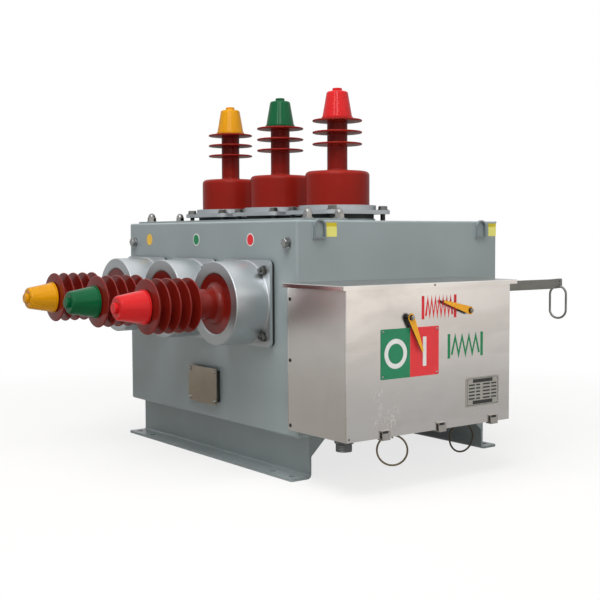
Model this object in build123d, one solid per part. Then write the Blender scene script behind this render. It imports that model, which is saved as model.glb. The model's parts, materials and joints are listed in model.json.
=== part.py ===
"""Outdoor three-phase vacuum circuit breaker: tank, bushings, mechanism box and feet.

Millimetres, +Z up. The origin is at floor level, in the middle of the foot bolt holes.
+X runs along the front of the mechanism box, -Y is the front, -X is the side bushing face.
"""
import os
from math import sqrt

from build123d import *

# Phases, from the rear (a) to the front (c)
phase_names = ("a", "b", "c")
phase_pitch = 200.0
side_row_y = 28.5
top_row_y = 35.0
top_row_inset = 221.0

# Clearances and cuts
cut_overrun = 20.0
seat_clearance = 0.3
pin_clearance = 0.05

# Tank
tank_width = 526.0
tank_depth = 643.0
tank_height = 402.0
tank_edge_radius = 5.0
tank_top_edge_radius = 4.0
tank_lip_reach = 5.0
tank_lip_thickness = 4.0
rear_cover_thickness = 4.0
rear_cover_side_margin = 10.0
rear_cover_top_margin = 2.0
rear_cover_bottom_margin = 30.0
rear_cover_corner_radius = 12.0
top_cover_thickness = 4.0
top_cover_end_margin = 12.5
top_cover_left_margin = 13.0
top_cover_gap = 2.5
top_cover_corner_radius = 10.0

# Feet
foot_height = 80.0
foot_plate = 5.0
foot_flange = 46.5
foot_end_margin = 5.5
foot_overhang = 10.0
foot_bend_radius = 9.0
foot_hole_radius = 6.5
foot_hole_inset = 17.0
foot_hole_outer_margin = 21.0
foot_hole_inner_margin = 81.0
foot_flange_corner_radius = 4.0
gusset_width = 41.0
gusset_height = 38.5
gusset_plate = 5.0

# Current transformer housings on the left face
ct_axis_height = 325.7
ct_flange_size = 164.0
ct_flange_radius = 10.0
ct_flange_thickness = 5.5
ct_gasket_size = 160.0
ct_gasket_thickness = 6.5
ct_ring_radius = 79.7
ct_ring_reach = 84.4
ct_bore_radius = 58.1
ct_bore_chamfer = 2.0
ct_ring_edge_radius = 2.0
ct_root_radius = 2.5

# Side bushings, measured outwards from the left face
side_insert_recess = 2.5
side_flare_radius = 42.0
side_flare_length = 12.0
side_neck_radius = 28.5
side_neck_reach = 133.0
side_shed_count = 5
side_first_shed = 141.5
side_shed_pitch = 21.5
side_end_reach = 233.5
flare_bulge_share = 0.3

# Sheds and cores shared by all bushings
shed_radius = 51.0
shed_root_thickness = 8.4
shed_rim_thickness = 3.6
core_radius = 25.0
bushing_end_radius = 29.0

# Top bushings, measured upwards from the tank top
top_collar_radius = 78.0
top_collar_height = 5.0
top_gasket_radius = 75.0
top_gasket_thickness = 9.5
top_plate_size = 165.0
top_plate_radius = 22.0
top_plate_thickness = 8.0
top_boss_radius = 79.5
top_boss_thickness = 10.0
top_base_radius = 66.0
top_base_height = 70.0
top_base_edge_radius = 9.0
top_neck_radius = 20.8
top_neck_fillet = 6.0
corner_arc_share = 0.7071
top_shed_count = 3
top_first_shed = 158.0
top_shed_pitch = 23.8
top_end_reach = 210.0

# Terminal caps
cap_base_radius = 32.2
cap_lip_thickness = 3.0
cap_cone_radius = 30.6
cap_top_radius = 21.5
cap_length = 55.0
cap_edge_radius = 5.0
cap_knob_radius = 10.0
cap_knob_length = 6.7
cap_knob_edge_radius = 1.5

# Relief plate under the side bushings
relief_y = -9.2
relief_z = 147.7
relief_width = 108.0
relief_height = 74.0
relief_plate_thickness = 2.0
relief_plate_radius = 3.0
relief_pad_thickness = 10.0
relief_pad_margin = 5.0

# Lifting lugs on the front face
lug_inset = 50.5
lug_top_rise = 2.0
lug_width = 28.0
lug_height = 36.0
lug_depth = 6.0
lug_strap = 3.0

# Mechanism box on the front face
box_side_overhang = 21.0
box_width = 405.0
box_depth = 167.5
box_bottom = 100.0
box_panel_height = 266.5
box_sheet = 2.0
fold_radius = 1.5
lid_side_overhang = 12.0
lid_front_overhang = 8.0
lid_rim_height = 8.0
lever_notch_width = 20.0
lever_slot_height = 80.0

# Clips along the lower edge of the front cover
clip_count = 3
clip_first_inset = 87.0
clip_last_inset = 46.0
clip_width = 18.0
clip_height = 17.0
clip_stand_off = 5.0
clip_sheet = 2.0
clip_drop = 4.0
clip_hook_depth = 9.0

# Conduit stub under the box
conduit_inset = 20.0
conduit_setback = 31.0
conduit_radius = 14.2
conduit_wall = 2.5
conduit_drop = 20.0
conduit_nut_radius = 18.0
conduit_nut_height = 6.0

# Plates on the front cover
sign_inset = 77.4
sign_width = 138.2
sign_bottom = 202.0
sign_height = 88.0
sign_thickness = 1.0
sign_corner_radius = 2.0
rating_right_inset = 30.5
rating_width = 88.0
rating_bottom = 133.0
rating_height = 56.0

# Pointers on the front cover
pointer_gap = 5.5
pointer_sheet = 2.0
pointer_hub_radius = 7.5
pointer_tip_radius = 2.5
pointer_pin_radius = 3.0
pointer_pin_head_radius = 4.5
pointer_pin_head_thickness = 2.0
position_pivot_inset = 141.8
position_pivot_z = 308.6
position_length = 68.0
position_angle = 24.4
charge_pivot_right_inset = 115.9
charge_pivot_z = 314.7
charge_length = 71.0
charge_angle = 106.0

# Charging lever at the right of the box
lever_pivot_right_inset = 32.0
lever_pivot_z = 350.0
lever_setback = 84.0
lever_height = 20.0
lever_thickness = 6.0
lever_hub_radius = 10.5
lever_hub_width = 24.0
lever_shaft_radius = 6.0
lever_straight_length = 254.0
lever_bend_angle = 20.0
lever_bend_radius = 12.0
lever_tip_length = 54.0
lever_tip_corner_radius = 5.0
lever_hole_radius = 3.6
lever_hole_inset = 17.0
lever_hole_drop = 5.0
lever_spare_hole_radius = 2.5
lever_spare_hole_inset = 16.0
lever_spare_hole_rise = 4.0

# Oblong ring on the lever
oblong_wire_radius = 2.3
oblong_width = 35.0
oblong_height = 68.0

# Pull rings under the box
pull_wire_radius = 1.75
pull_ring_radius = 27.75
pull_eye_radius = 5.5
pull_eye_wire_radius = 2.0
pull_stem_radius = 2.5
pull_stem_length = 2.4
pull_left_inset = 147.0
pull_left_setback = 48.0
pull_left_turn = -40.0
pull_right_inset = 70.0
pull_right_setback = 59.0
pull_right_turn = -8.0

# Levels and faces that follow from the sizes above
tank_top = foot_height + tank_height
left_face = -tank_width / 2
front_face = -tank_depth / 2
rear_face = tank_depth / 2
top_row_x = left_face + top_row_inset
foot_length = tank_depth - 2 * foot_end_margin
foot_span = tank_width + 2 * foot_overhang
foot_hole_span = foot_span - 2 * foot_hole_inset
lug_x = tank_width / 2 - lug_inset
ct_flange_back = ct_gasket_thickness
box_left = left_face - box_side_overhang
box_right = box_left + box_width
box_front = front_face - box_depth
box_top = box_bottom + box_panel_height
cover_back = box_front + box_sheet
lid_top = box_top + box_sheet
top_plate_bottom = tank_top + top_collar_height + top_gasket_thickness
top_boss_bottom = top_plate_bottom + top_plate_thickness
top_base_bottom = top_boss_bottom + top_boss_thickness

# Places along the mechanism box, from its sides and its front
conduit_x = box_left + conduit_inset
conduit_y = box_front + conduit_setback
sign_left = box_left + sign_inset
rating_left = box_right - rating_right_inset - rating_width
position_pivot_x = box_left + position_pivot_inset
charge_pivot_x = box_right - charge_pivot_right_inset
lever_pivot_x = box_right - lever_pivot_right_inset
lever_bend_x = lever_pivot_x + lever_straight_length
lever_y = box_front + lever_setback
clip_first_x = box_left + clip_first_inset
clip_pitch = (box_width - clip_first_inset - clip_last_inset) / (clip_count - 1)
pull_left_x = box_left + pull_left_inset
pull_left_y = box_front + pull_left_setback
pull_right_x = box_right - pull_right_inset
pull_right_y = box_front + pull_right_setback


def block(x_low, x_high, y_low, y_high, z_low, z_high):
    """A rectangular solid between two corners."""
    size = Vector(x_high - x_low, y_high - y_low, z_high - z_low)
    centre = ((x_low + x_high) / 2, (y_low + y_high) / 2, (z_low + z_high) / 2)
    return Pos(*centre) * Box(size.X, size.Y, size.Z)


def rounded_plate(width, height, radius, thickness):
    """A plate with round corners, lying on the XY plane."""
    return extrude(RectangleRounded(width, height, radius), thickness)


def on_left_face(y, z):
    """A placement on the tank's left face, with its Z axis pointing out of the face."""
    return Plane(origin=(left_face, y, z), x_dir=(0, -1, 0), z_dir=(-1, 0, 0))


def on_front(x, z, face):
    """A placement on a face that looks to the front, with its Z axis pointing out."""
    return Plane(origin=(x, face, z), x_dir=(1, 0, 0), z_dir=(0, -1, 0))


def on_top(y):
    """A placement on the tank top at one of the top bushings."""
    return Plane(origin=(top_row_x, y, tank_top), x_dir=(1, 0, 0), z_dir=(0, 0, 1))


def phase_rows(middle):
    """Each phase's name with its place along Y."""
    places = (middle + phase_pitch, middle, middle - phase_pitch)
    return list(zip(phase_names, places))


def turned(edges):
    """The solid of revolution about Z of a closed outline in the XZ plane."""
    return revolve(make_face(edges), Axis.Z)


def path(points):
    """Straight edges through points given as radius and height."""
    corners = [(radius, 0, height) for radius, height in points]
    return [Line(start, end) for start, end in zip(corners, corners[1:])]


def arc(start, middle, end):
    """An arc through three points given as radius and height."""
    return ThreePointArc(*[(radius, 0, height) for radius, height in (start, middle, end)])


def shed_outline(height, core):
    """One shed's edges, going up the core: a tapered skirt with a round rim."""
    half_root = shed_root_thickness / 2
    half_rim = shed_rim_thickness / 2
    rim_start = shed_radius - half_rim
    lower = path([(core, height - half_root), (rim_start, height - half_rim)])
    rim = arc((rim_start, height - half_rim), (shed_radius, height), (rim_start, height + half_rim))
    upper = path([(rim_start, height + half_rim), (core, height + half_root)])
    return lower + [rim] + upper


def shed_stack(first, pitch, count, core, start, end):
    """The outline of a core with its sheds, from a start height to an end height."""
    edges = []
    level = start
    for index in range(count):
        height = first + index * pitch
        edges += path([(core, level), (core, height - shed_root_thickness / 2)])
        edges += shed_outline(height, core)
        level = height + shed_root_thickness / 2
    edges += path([(core, level), (bushing_end_radius, end), (0, end)])
    return edges


def tank_body():
    """The welded tank as one closed housing, with a lip on the right and collars on top."""
    body = block(left_face, -left_face, front_face, rear_face, foot_height, tank_top)
    edges = body.edges().filter_by(Axis.Z) + body.faces().sort_by(Axis.Z)[0].edges()
    body = fillet(edges, tank_edge_radius)
    body = fillet(body.faces().sort_by(Axis.Z)[-1].edges(), tank_top_edge_radius)
    body += block(-left_face - tank_edge_radius, -left_face + tank_lip_reach, front_face + tank_edge_radius,
                  rear_face - tank_edge_radius, tank_top - tank_lip_thickness, tank_top)
    for name, y in phase_rows(top_row_y):
        body += on_top(y) * extrude(Circle(top_collar_radius), top_collar_height)
    return body


def tank_rear_cover():
    """The cover plate bolted to the back of the tank."""
    width = tank_width - 2 * rear_cover_side_margin
    height = tank_height - rear_cover_top_margin - rear_cover_bottom_margin
    middle = tank_top - rear_cover_top_margin - height / 2
    place = Plane(origin=(0, rear_face, middle), x_dir=(-1, 0, 0), z_dir=(0, 1, 0))
    return place * rounded_plate(width, height, rear_cover_corner_radius, rear_cover_thickness)


def tank_top_cover():
    """The hand-hole cover on the tank top, beside the top bushings."""
    x_low = left_face + top_cover_left_margin
    x_high = top_row_x - top_plate_size / 2 - top_cover_gap
    length = tank_depth - 2 * top_cover_end_margin
    plate = rounded_plate(x_high - x_low, length, top_cover_corner_radius, top_cover_thickness)
    return Pos((x_low + x_high) / 2, 0, tank_top) * plate


def foot(side):
    """A bent plate foot with its bolt holes and end gussets; side is -1 left, +1 right."""
    edge = foot_span / 2
    web = edge - foot_flange
    outline = Polyline((web, foot_height), (web, 0), (edge, 0), (edge, foot_plate),
                       (web + foot_plate, foot_plate), (web + foot_plate, foot_height), close=True)
    section = make_face(outline)
    inner = section.vertices().sort_by_distance((web + foot_plate, foot_plate))[0]
    section = fillet(inner, foot_bend_radius - foot_plate)
    outer = section.vertices().sort_by_distance((web, 0))[0]
    section = fillet(outer, foot_bend_radius)
    upright = Plane(origin=(0, foot_length / 2, 0), x_dir=(1, 0, 0), z_dir=(0, -1, 0))
    body = extrude(upright * section, foot_length)
    corners = body.edges().filter_by(Axis.Z).group_by(Axis.X)[-1]
    body = fillet(corners, foot_flange_corner_radius)
    brace = make_face(Polyline((web, foot_height), (web - gusset_width, foot_height),
                               (web, foot_height - gusset_height), close=True))
    for end in (-foot_length / 2 + gusset_plate, foot_length / 2):
        place = Plane(origin=(0, end, 0), x_dir=(1, 0, 0), z_dir=(0, -1, 0))
        body += extrude(place * brace, gusset_plate)
    for margin in (foot_hole_outer_margin, foot_hole_inner_margin):
        place = foot_length / 2 - margin
        for y in (-place, place):
            body -= Pos(foot_hole_span / 2, y, 0) * Cylinder(foot_hole_radius, cut_overrun)
    return body if side > 0 else mirror(body, Plane.YZ)


def ct_gaskets():
    """The rubber gaskets behind the transformer housings."""
    sheet = rounded_plate(ct_gasket_size, ct_gasket_size, ct_flange_radius, ct_gasket_thickness)
    sheet -= extrude(Circle(ct_bore_radius), ct_gasket_thickness)
    return Compound(children=[on_left_face(y, ct_axis_height) * sheet for name, y in phase_rows(side_row_y)])


def ct_housing(y):
    """A cast housing: square flange, ring and through bore."""
    flange = rounded_plate(ct_flange_size, ct_flange_size, ct_flange_radius, ct_flange_thickness)
    body = Pos(0, 0, ct_flange_back) * flange
    ring_length = ct_ring_reach - ct_flange_back
    ring = Pos(0, 0, ct_flange_back) * extrude(Circle(ct_ring_radius), ring_length)
    rim = ring.faces().sort_by(Axis.Z)[-1].edges()
    body += fillet(rim, ct_ring_edge_radius)
    root_height = ct_flange_back + ct_flange_thickness
    circles = body.edges().filter_by(GeomType.CIRCLE)
    root = circles.filter_by(lambda edge: abs(edge.radius - ct_ring_radius) < seat_clearance)
    body = fillet(root.filter_by_position(Axis.Z, root_height, root_height), ct_root_radius)
    body -= Pos(0, 0, ct_flange_back) * extrude(Circle(ct_bore_radius), ring_length)
    mouth = body.faces().sort_by(Axis.Z)[-1].edges().sort_by(SortBy.RADIUS)[0]
    body = chamfer(mouth, ct_bore_chamfer)
    return on_left_face(y, ct_axis_height) * body


def side_bushing(y):
    """A red epoxy bushing: insert in the housing bore, flared neck and sheds."""
    insert = ct_bore_radius - seat_clearance
    shelf = ct_ring_reach - side_insert_recess
    flare_end = shelf + side_flare_length
    flare_middle = (side_neck_radius + (side_flare_radius - side_neck_radius) * flare_bulge_share,
                    shelf + side_flare_length * flare_bulge_share)
    edges = path([(0, 0), (insert, 0), (insert, shelf), (side_flare_radius, shelf)])
    edges += [arc((side_flare_radius, shelf), flare_middle, (side_neck_radius, flare_end))]
    edges += path([(side_neck_radius, flare_end), (side_neck_radius, side_neck_reach),
                   (core_radius, side_neck_reach)])
    edges += shed_stack(side_first_shed, side_shed_pitch, side_shed_count, core_radius,
                        side_neck_reach, side_end_reach)
    edges += path([(0, side_end_reach), (0, 0)])
    return on_left_face(y, ct_axis_height) * turned(edges)


def top_gaskets():
    """The rubber gaskets under the top flanges."""
    disc = Pos(0, 0, top_collar_height) * extrude(Circle(top_gasket_radius), top_gasket_thickness)
    return Compound(children=[on_top(y) * disc for name, y in phase_rows(top_row_y)])


def top_flange(y):
    """A cast flange: square plate with a round boss."""
    plate = rounded_plate(top_plate_size, top_plate_size, top_plate_radius, top_plate_thickness)
    boss = Pos(0, 0, top_plate_thickness) * extrude(Circle(top_boss_radius), top_boss_thickness)
    return on_top(y) * Pos(0, 0, top_plate_bottom - tank_top) * (plate + boss)


def top_bushing(y):
    """A red epoxy bushing: wide base with a round shoulder, slim neck and sheds."""
    base = top_base_bottom - tank_top
    shoulder = base + top_base_height
    round_start = top_base_radius - top_base_edge_radius
    corner = top_base_edge_radius * corner_arc_share
    neck_start = top_neck_radius + top_neck_fillet
    neck_corner = top_neck_fillet * (1 - corner_arc_share)
    edges = path([(0, base), (top_base_radius, base), (top_base_radius, shoulder - top_base_edge_radius)])
    edges += [arc((top_base_radius, shoulder - top_base_edge_radius),
                  (round_start + corner, shoulder - top_base_edge_radius + corner),
                  (round_start, shoulder))]
    edges += path([(round_start, shoulder), (neck_start, shoulder)])
    edges += [arc((neck_start, shoulder), (top_neck_radius + neck_corner, shoulder + neck_corner),
                  (top_neck_radius, shoulder + top_neck_fillet))]
    edges += shed_stack(top_first_shed, top_shed_pitch, top_shed_count, top_neck_radius,
                        shoulder + top_neck_fillet, top_end_reach)
    edges += path([(0, top_end_reach), (0, base)])
    return on_top(y) * turned(edges)


def terminal_cap():
    """A coloured cap: lip, cone with a round edge and a small knob, standing on the XY plane."""
    cone = turned(path([(0, 0), (cap_base_radius, 0), (cap_base_radius, cap_lip_thickness),
                        (cap_cone_radius, cap_lip_thickness), (cap_top_radius, cap_length),
                        (0, cap_length), (0, 0)]))
    cone = fillet(cone.faces().sort_by(Axis.Z)[-1].edges(), cap_edge_radius)
    knob = Pos(0, 0, cap_length) * extrude(Circle(cap_knob_radius), cap_knob_length)
    knob = fillet(knob.faces().sort_by(Axis.Z)[-1].edges(), cap_knob_edge_radius)
    return cone + knob


def relief_pad():
    """The black pad that carries the relief plate."""
    width = relief_width - 2 * relief_pad_margin
    height = relief_height - 2 * relief_pad_margin
    return on_left_face(relief_y, relief_z) * extrude(Rectangle(width, height), relief_pad_thickness)


def relief_plate():
    """The thin stainless plate on its pad."""
    plate = rounded_plate(relief_width, relief_height, relief_plate_radius, relief_plate_thickness)
    return on_left_face(relief_y, relief_z) * Pos(0, 0, relief_pad_thickness) * plate


def lifting_lug(x):
    """A strap bent into a D, welded to the front face with its round end up."""
    middle = tank_top + lug_top_rise - lug_height / 2
    outer = lug_outline(0)
    inner = lug_outline(lug_strap)
    return on_front(x, middle, front_face) * extrude(outer - inner, lug_depth)


def lug_outline(inset):
    """The D outline of a lug, drawn in by an inset all round."""
    half = lug_width / 2 - inset
    low = -lug_height / 2 + inset
    spring = lug_height / 2 - lug_width / 2
    edges = [Line((-half, spring), (-half, low)), Line((-half, low), (half, low)),
             Line((half, low), (half, spring)),
             ThreePointArc((half, spring), (0, spring + half), (-half, spring))]
    return make_face(edges)


def box_back():
    """The back sheet of the mechanism box, against the tank."""
    return block(box_left, box_right, front_face - box_sheet, front_face, box_bottom, box_top)


def box_left_side():
    """The left sheet of the mechanism box."""
    return block(box_left, box_left + box_sheet, cover_back, front_face - box_sheet, box_bottom, box_top)


def box_right_side():
    """The right sheet of the mechanism box, slotted for the charging lever."""
    side = block(box_right - box_sheet, box_right, cover_back, front_face - box_sheet, box_bottom, box_top)
    slot = block(box_right - cut_overrun, box_right + cut_overrun, lever_y - lever_notch_width / 2,
                 lever_y + lever_notch_width / 2, box_top - lever_slot_height, box_top + cut_overrun)
    return side - slot


def box_floor():
    """The bottom sheet of the mechanism box, open above the conduit stub."""
    sheet = block(box_left + box_sheet, box_right - box_sheet, cover_back, front_face - box_sheet,
                  box_bottom, box_bottom + box_sheet)
    hole = Pos(conduit_x, conduit_y, box_bottom) * Cylinder(conduit_radius - conduit_wall, cut_overrun)
    return sheet - hole


def front_cover():
    """The front sheet of the mechanism box, with round folds at its outer edges."""
    sheet = block(box_left, box_right, box_front, cover_back, box_bottom, box_top)
    folds = sheet.edges().filter_by(Axis.Z).group_by(Axis.Y)[0]
    return fillet(folds, fold_radius)


def box_lid():
    """The lid with a turned-down rim on three sides, notched above the lever."""
    x_low = box_left - lid_side_overhang
    x_high = box_right + lid_side_overhang
    y_low = box_front - lid_front_overhang
    rim_low = lid_top - lid_rim_height
    lid = block(x_low, x_high, y_low, front_face, rim_low, lid_top)
    folds = lid.faces().sort_by(Axis.Z)[-1].edges().sort_by(Axis.Y)[:-1]
    lid = fillet(folds + lid.edges().filter_by(Axis.Z).group_by(Axis.Y)[0], fold_radius)
    lid -= block(x_low + box_sheet, x_high - box_sheet, y_low + box_sheet, front_face + cut_overrun,
                 rim_low - cut_overrun, box_top)
    lid -= block(x_high - cut_overrun, x_high + cut_overrun, lever_y - lever_notch_width / 2,
                 lever_y + lever_notch_width / 2, rim_low - cut_overrun, box_top)
    return lid


def cover_clips():
    """Bent clips that hook the lower edge of the front cover."""
    face = box_front - clip_stand_off
    low = box_bottom - clip_drop
    high = low + clip_height
    outline = make_face(Polyline((box_front, high), (face, high), (face, low),
                                 (box_front + clip_hook_depth, low), (box_front + clip_hook_depth, box_bottom),
                                 (box_front, box_bottom), (box_front, low + clip_sheet),
                                 (face + clip_sheet, low + clip_sheet), (face + clip_sheet, high - clip_sheet),
                                 (box_front, high - clip_sheet), close=True))
    clips = []
    for index in range(clip_count):
        x = clip_first_x + index * clip_pitch
        place = Plane(origin=(x - clip_width / 2, 0, 0), x_dir=(0, 1, 0), z_dir=(1, 0, 0))
        clips.append(extrude(place * outline, clip_width))
    return Compound(children=clips)


def conduit_stub():
    """The open conduit end under the box, with its lock nut."""
    tube = extrude(Circle(conduit_radius) - Circle(conduit_radius - conduit_wall), -conduit_drop)
    nut = extrude(RegularPolygon(conduit_nut_radius, 6) - Circle(conduit_radius), -conduit_nut_height)
    return Pos(conduit_x, conduit_y, box_bottom) * (tube + nut)


def front_plate(left, bottom, width, height):
    """A thin plate on the front cover."""
    place = on_front(left + width / 2, bottom + height / 2, box_front)
    return place * rounded_plate(width, height, sign_corner_radius, sign_thickness)


def pointer_pins():
    """The headed pins that carry the two pointers."""
    reach = sign_thickness + pointer_gap + pointer_sheet + seat_clearance
    pin = extrude(Circle(pointer_pin_radius), reach)
    pin += Pos(0, 0, reach) * extrude(Circle(pointer_pin_head_radius), pointer_pin_head_thickness)
    places = ((position_pivot_x, position_pivot_z), (charge_pivot_x, charge_pivot_z))
    return Compound(children=[on_front(x, z, box_front) * pin for x, z in places])


def pointer(x, z, length, angle):
    """A tapered pointer on its pin; angle turns its tip from straight down towards +X."""
    hub = Circle(pointer_hub_radius)
    tip = Pos(0, -length + pointer_tip_radius) * Circle(pointer_tip_radius)
    outline = make_hull((hub + tip).edges()) - Circle(pointer_pin_radius + pin_clearance)
    lift = sign_thickness + pointer_gap
    return on_front(x, z, box_front) * Rot(0, 0, angle) * Pos(0, 0, lift) * extrude(outline, pointer_sheet)


def charging_shaft():
    """The shaft of the charging lever, from the back sheet to the front cover."""
    place = on_front(lever_pivot_x, lever_pivot_z, front_face - box_sheet)
    return place * extrude(Circle(lever_shaft_radius), box_depth - 2 * box_sheet)


def lever_tip_plane():
    """The front side of the lever's bent tip, at the bend, with X along the tip."""
    bend = Vector(lever_bend_x, lever_y, lever_pivot_z)
    along = Vector(1, 0, 0).rotate(Axis.Z, lever_bend_angle)
    out = Vector(0, -1, 0).rotate(Axis.Z, lever_bend_angle)
    return Plane(origin=bend, x_dir=along, z_dir=out)


def charging_lever():
    """The flat charging lever: hub, straight bar and bent tip with two holes."""
    tip = lever_tip_plane().from_local_coords(Vector(lever_tip_length, 0, 0))
    start = (lever_pivot_x + lever_shaft_radius, lever_y)
    line = FilletPolyline(start, (lever_bend_x, lever_y), (tip.X, tip.Y), radius=lever_bend_radius)
    bar = Pos(0, 0, lever_pivot_z - lever_height / 2) * extrude(trace(line, lever_thickness), lever_height)
    end_edges = bar.faces().sort_by(Axis.X)[-1].edges()
    corners = end_edges.filter_by(lambda edge: abs(edge.length - lever_thickness) < seat_clearance)
    bar = fillet(corners, lever_tip_corner_radius)
    hub = Plane(origin=(lever_pivot_x, lever_y, lever_pivot_z), x_dir=(1, 0, 0), z_dir=(0, -1, 0))
    bar += hub * Cylinder(lever_hub_radius, lever_hub_width)
    bar -= hub * Cylinder(lever_shaft_radius + pin_clearance, lever_hub_width + cut_overrun)
    drill = lever_tip_plane()
    ring_hole = Pos(lever_tip_length - lever_hole_inset, -lever_hole_drop, 0)
    bar -= drill * ring_hole * Cylinder(lever_hole_radius, cut_overrun)
    spare_hole = Pos(lever_tip_length - lever_spare_hole_inset, lever_spare_hole_rise, 0)
    bar -= drill * spare_hole * Cylinder(lever_spare_hole_radius, cut_overrun)
    return bar


def lever_ring():
    """The oblong wire ring that hangs through the lever's lower hole."""
    bend = oblong_width / 2
    sag = bend - sqrt(bend**2 - (lever_thickness / 2)**2)
    rest = lever_hole_drop + lever_hole_radius - oblong_wire_radius - seat_clearance - sag
    straight = oblong_height - oblong_width
    loop = Wire(SlotCenterToCenter(straight, oblong_width, rotation=90).edges())
    section = Plane(origin=loop @ 0, z_dir=loop % 0) * Circle(oblong_wire_radius)
    ring = Rot(0, 90, 0) * sweep(section, path=loop)
    place = Pos(lever_tip_length - lever_hole_inset, -rest - oblong_height / 2, 0)
    return lever_tip_plane() * place * ring


def pull_eye_height():
    """The level of a pull eye's centre under the box."""
    return box_bottom - pull_stem_length - pull_eye_radius


def pull_eyes():
    """The eyes under the box that carry the pull rings."""
    eyes = []
    places = ((pull_left_x, pull_left_y, pull_left_turn), (pull_right_x, pull_right_y, pull_right_turn))
    for x, y, turn in places:
        loop = Rot(90, 0, 0) * Torus(pull_eye_radius, pull_eye_wire_radius)
        stem = Pos(0, 0, pull_eye_radius) * extrude(Circle(pull_stem_radius), pull_stem_length)
        eyes.append(Pos(x, y, pull_eye_height()) * Rot(0, 0, turn + 90) * (loop + stem))
    return Compound(children=eyes)


def pull_ring(x, y, turn):
    """A round wire ring that hangs in its eye."""
    rest = pull_eye_radius - pull_eye_wire_radius - pull_wire_radius - seat_clearance
    middle = pull_eye_height() - rest - pull_ring_radius
    return Pos(x, y, middle) * Rot(0, 0, turn) * Rot(90, 0, 0) * Torus(pull_ring_radius, pull_wire_radius)


nodes = {
    "tank_body": tank_body(),
    "tank_rear_cover": tank_rear_cover(),
    "tank_top_cover": tank_top_cover(),
    "left_foot": foot(-1),
    "right_foot": foot(1),
    "ct_gaskets": ct_gaskets(),
    "top_gaskets": top_gaskets(),
    "relief_pad": relief_pad(),
    "relief_plate": relief_plate(),
    "left_lifting_lug": lifting_lug(-lug_x),
    "right_lifting_lug": lifting_lug(lug_x),
    "box_back": box_back(),
    "box_left_side": box_left_side(),
    "box_right_side": box_right_side(),
    "box_floor": box_floor(),
    "front_cover": front_cover(),
    "box_lid": box_lid(),
    "cover_clips": cover_clips(),
    "conduit_stub": conduit_stub(),
    "position_sign": front_plate(sign_left, sign_bottom, sign_width, sign_height),
    "rating_plate": front_plate(rating_left, rating_bottom, rating_width, rating_height),
    "pointer_pins": pointer_pins(),
    "position_pointer": pointer(position_pivot_x, position_pivot_z, position_length, position_angle),
    "charge_pointer": pointer(charge_pivot_x, charge_pivot_z, charge_length, -charge_angle),
    "charging_shaft": charging_shaft(),
    "charging_lever": charging_lever(),
    "lever_ring": lever_ring(),
    "pull_eyes": pull_eyes(),
    "left_pull_ring": pull_ring(pull_left_x, pull_left_y, pull_left_turn),
    "right_pull_ring": pull_ring(pull_right_x, pull_right_y, pull_right_turn),
}

for phase, row in phase_rows(side_row_y):
    nodes[f"ct_housing_{phase}"] = ct_housing(row)
    nodes[f"side_bushing_{phase}"] = side_bushing(row)
    nodes[f"side_cap_{phase}"] = on_left_face(row, ct_axis_height) * Pos(0, 0, side_end_reach) * terminal_cap()

for phase, row in phase_rows(top_row_y):
    nodes[f"top_flange_{phase}"] = top_flange(row)
    nodes[f"top_bushing_{phase}"] = top_bushing(row)
    nodes[f"top_cap_{phase}"] = on_top(row) * Pos(0, 0, top_end_reach) * terminal_cap()

os.makedirs("parts", exist_ok=True)
for name, shape in nodes.items():
    export_step(shape, f"parts/{name}.step")
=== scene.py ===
"""Looks of an outdoor vacuum circuit breaker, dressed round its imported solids.

Metres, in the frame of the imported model: +X along the front of the mechanism box,
-Y the front, +Z up.
"""
import json
import logging
import math
from collections.abc import Sequence
from dataclasses import dataclass, field, replace
from enum import Enum

import bmesh
import bpy
from mathutils import Matrix, Vector


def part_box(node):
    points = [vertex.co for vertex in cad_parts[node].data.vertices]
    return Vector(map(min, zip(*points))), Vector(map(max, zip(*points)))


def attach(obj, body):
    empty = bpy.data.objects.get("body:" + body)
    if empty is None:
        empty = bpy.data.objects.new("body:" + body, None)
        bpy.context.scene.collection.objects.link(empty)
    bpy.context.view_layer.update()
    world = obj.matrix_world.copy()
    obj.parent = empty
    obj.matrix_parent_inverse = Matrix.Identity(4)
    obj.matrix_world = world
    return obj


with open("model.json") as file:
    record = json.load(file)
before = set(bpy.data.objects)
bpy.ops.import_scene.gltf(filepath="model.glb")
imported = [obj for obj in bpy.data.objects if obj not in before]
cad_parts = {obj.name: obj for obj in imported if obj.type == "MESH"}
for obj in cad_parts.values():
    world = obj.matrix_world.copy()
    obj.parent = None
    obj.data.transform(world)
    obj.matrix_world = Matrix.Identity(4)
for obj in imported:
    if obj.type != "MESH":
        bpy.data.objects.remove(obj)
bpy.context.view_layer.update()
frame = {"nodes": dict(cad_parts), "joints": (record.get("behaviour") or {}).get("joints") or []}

Colour = tuple[float, float, float]
Way = tuple[float, float, float]
Point = tuple[float, float]

log = logging.getLogger("breaker")

MM = 0.001
PHASES = ("a", "b", "c")
ROOT = "breaker"
UP = Vector((0, 0, 1))
FRONT = Vector((0, -1, 0))
BACK = Vector((0, 1, 0))
LEFT = Vector((-1, 0, 0))
WHITE = (1.0, 1.0, 1.0, 1.0)
MITRE_LIMIT = 0.35


def srgb(red: int, green: int, blue: int) -> Colour:
    """A linear colour from its screen values.

    Args:
        red: Red, 0 to 255.
        green: Green, 0 to 255.
        blue: Blue, 0 to 255.

    Returns:
        The three linear values.
    """
    linear = []
    for value in (red, green, blue):
        share = value / 255
        linear.append(share / 12.92 if share <= 0.04045 else ((share + 0.055) / 1.055) ** 2.4)
    return tuple(linear)


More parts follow.
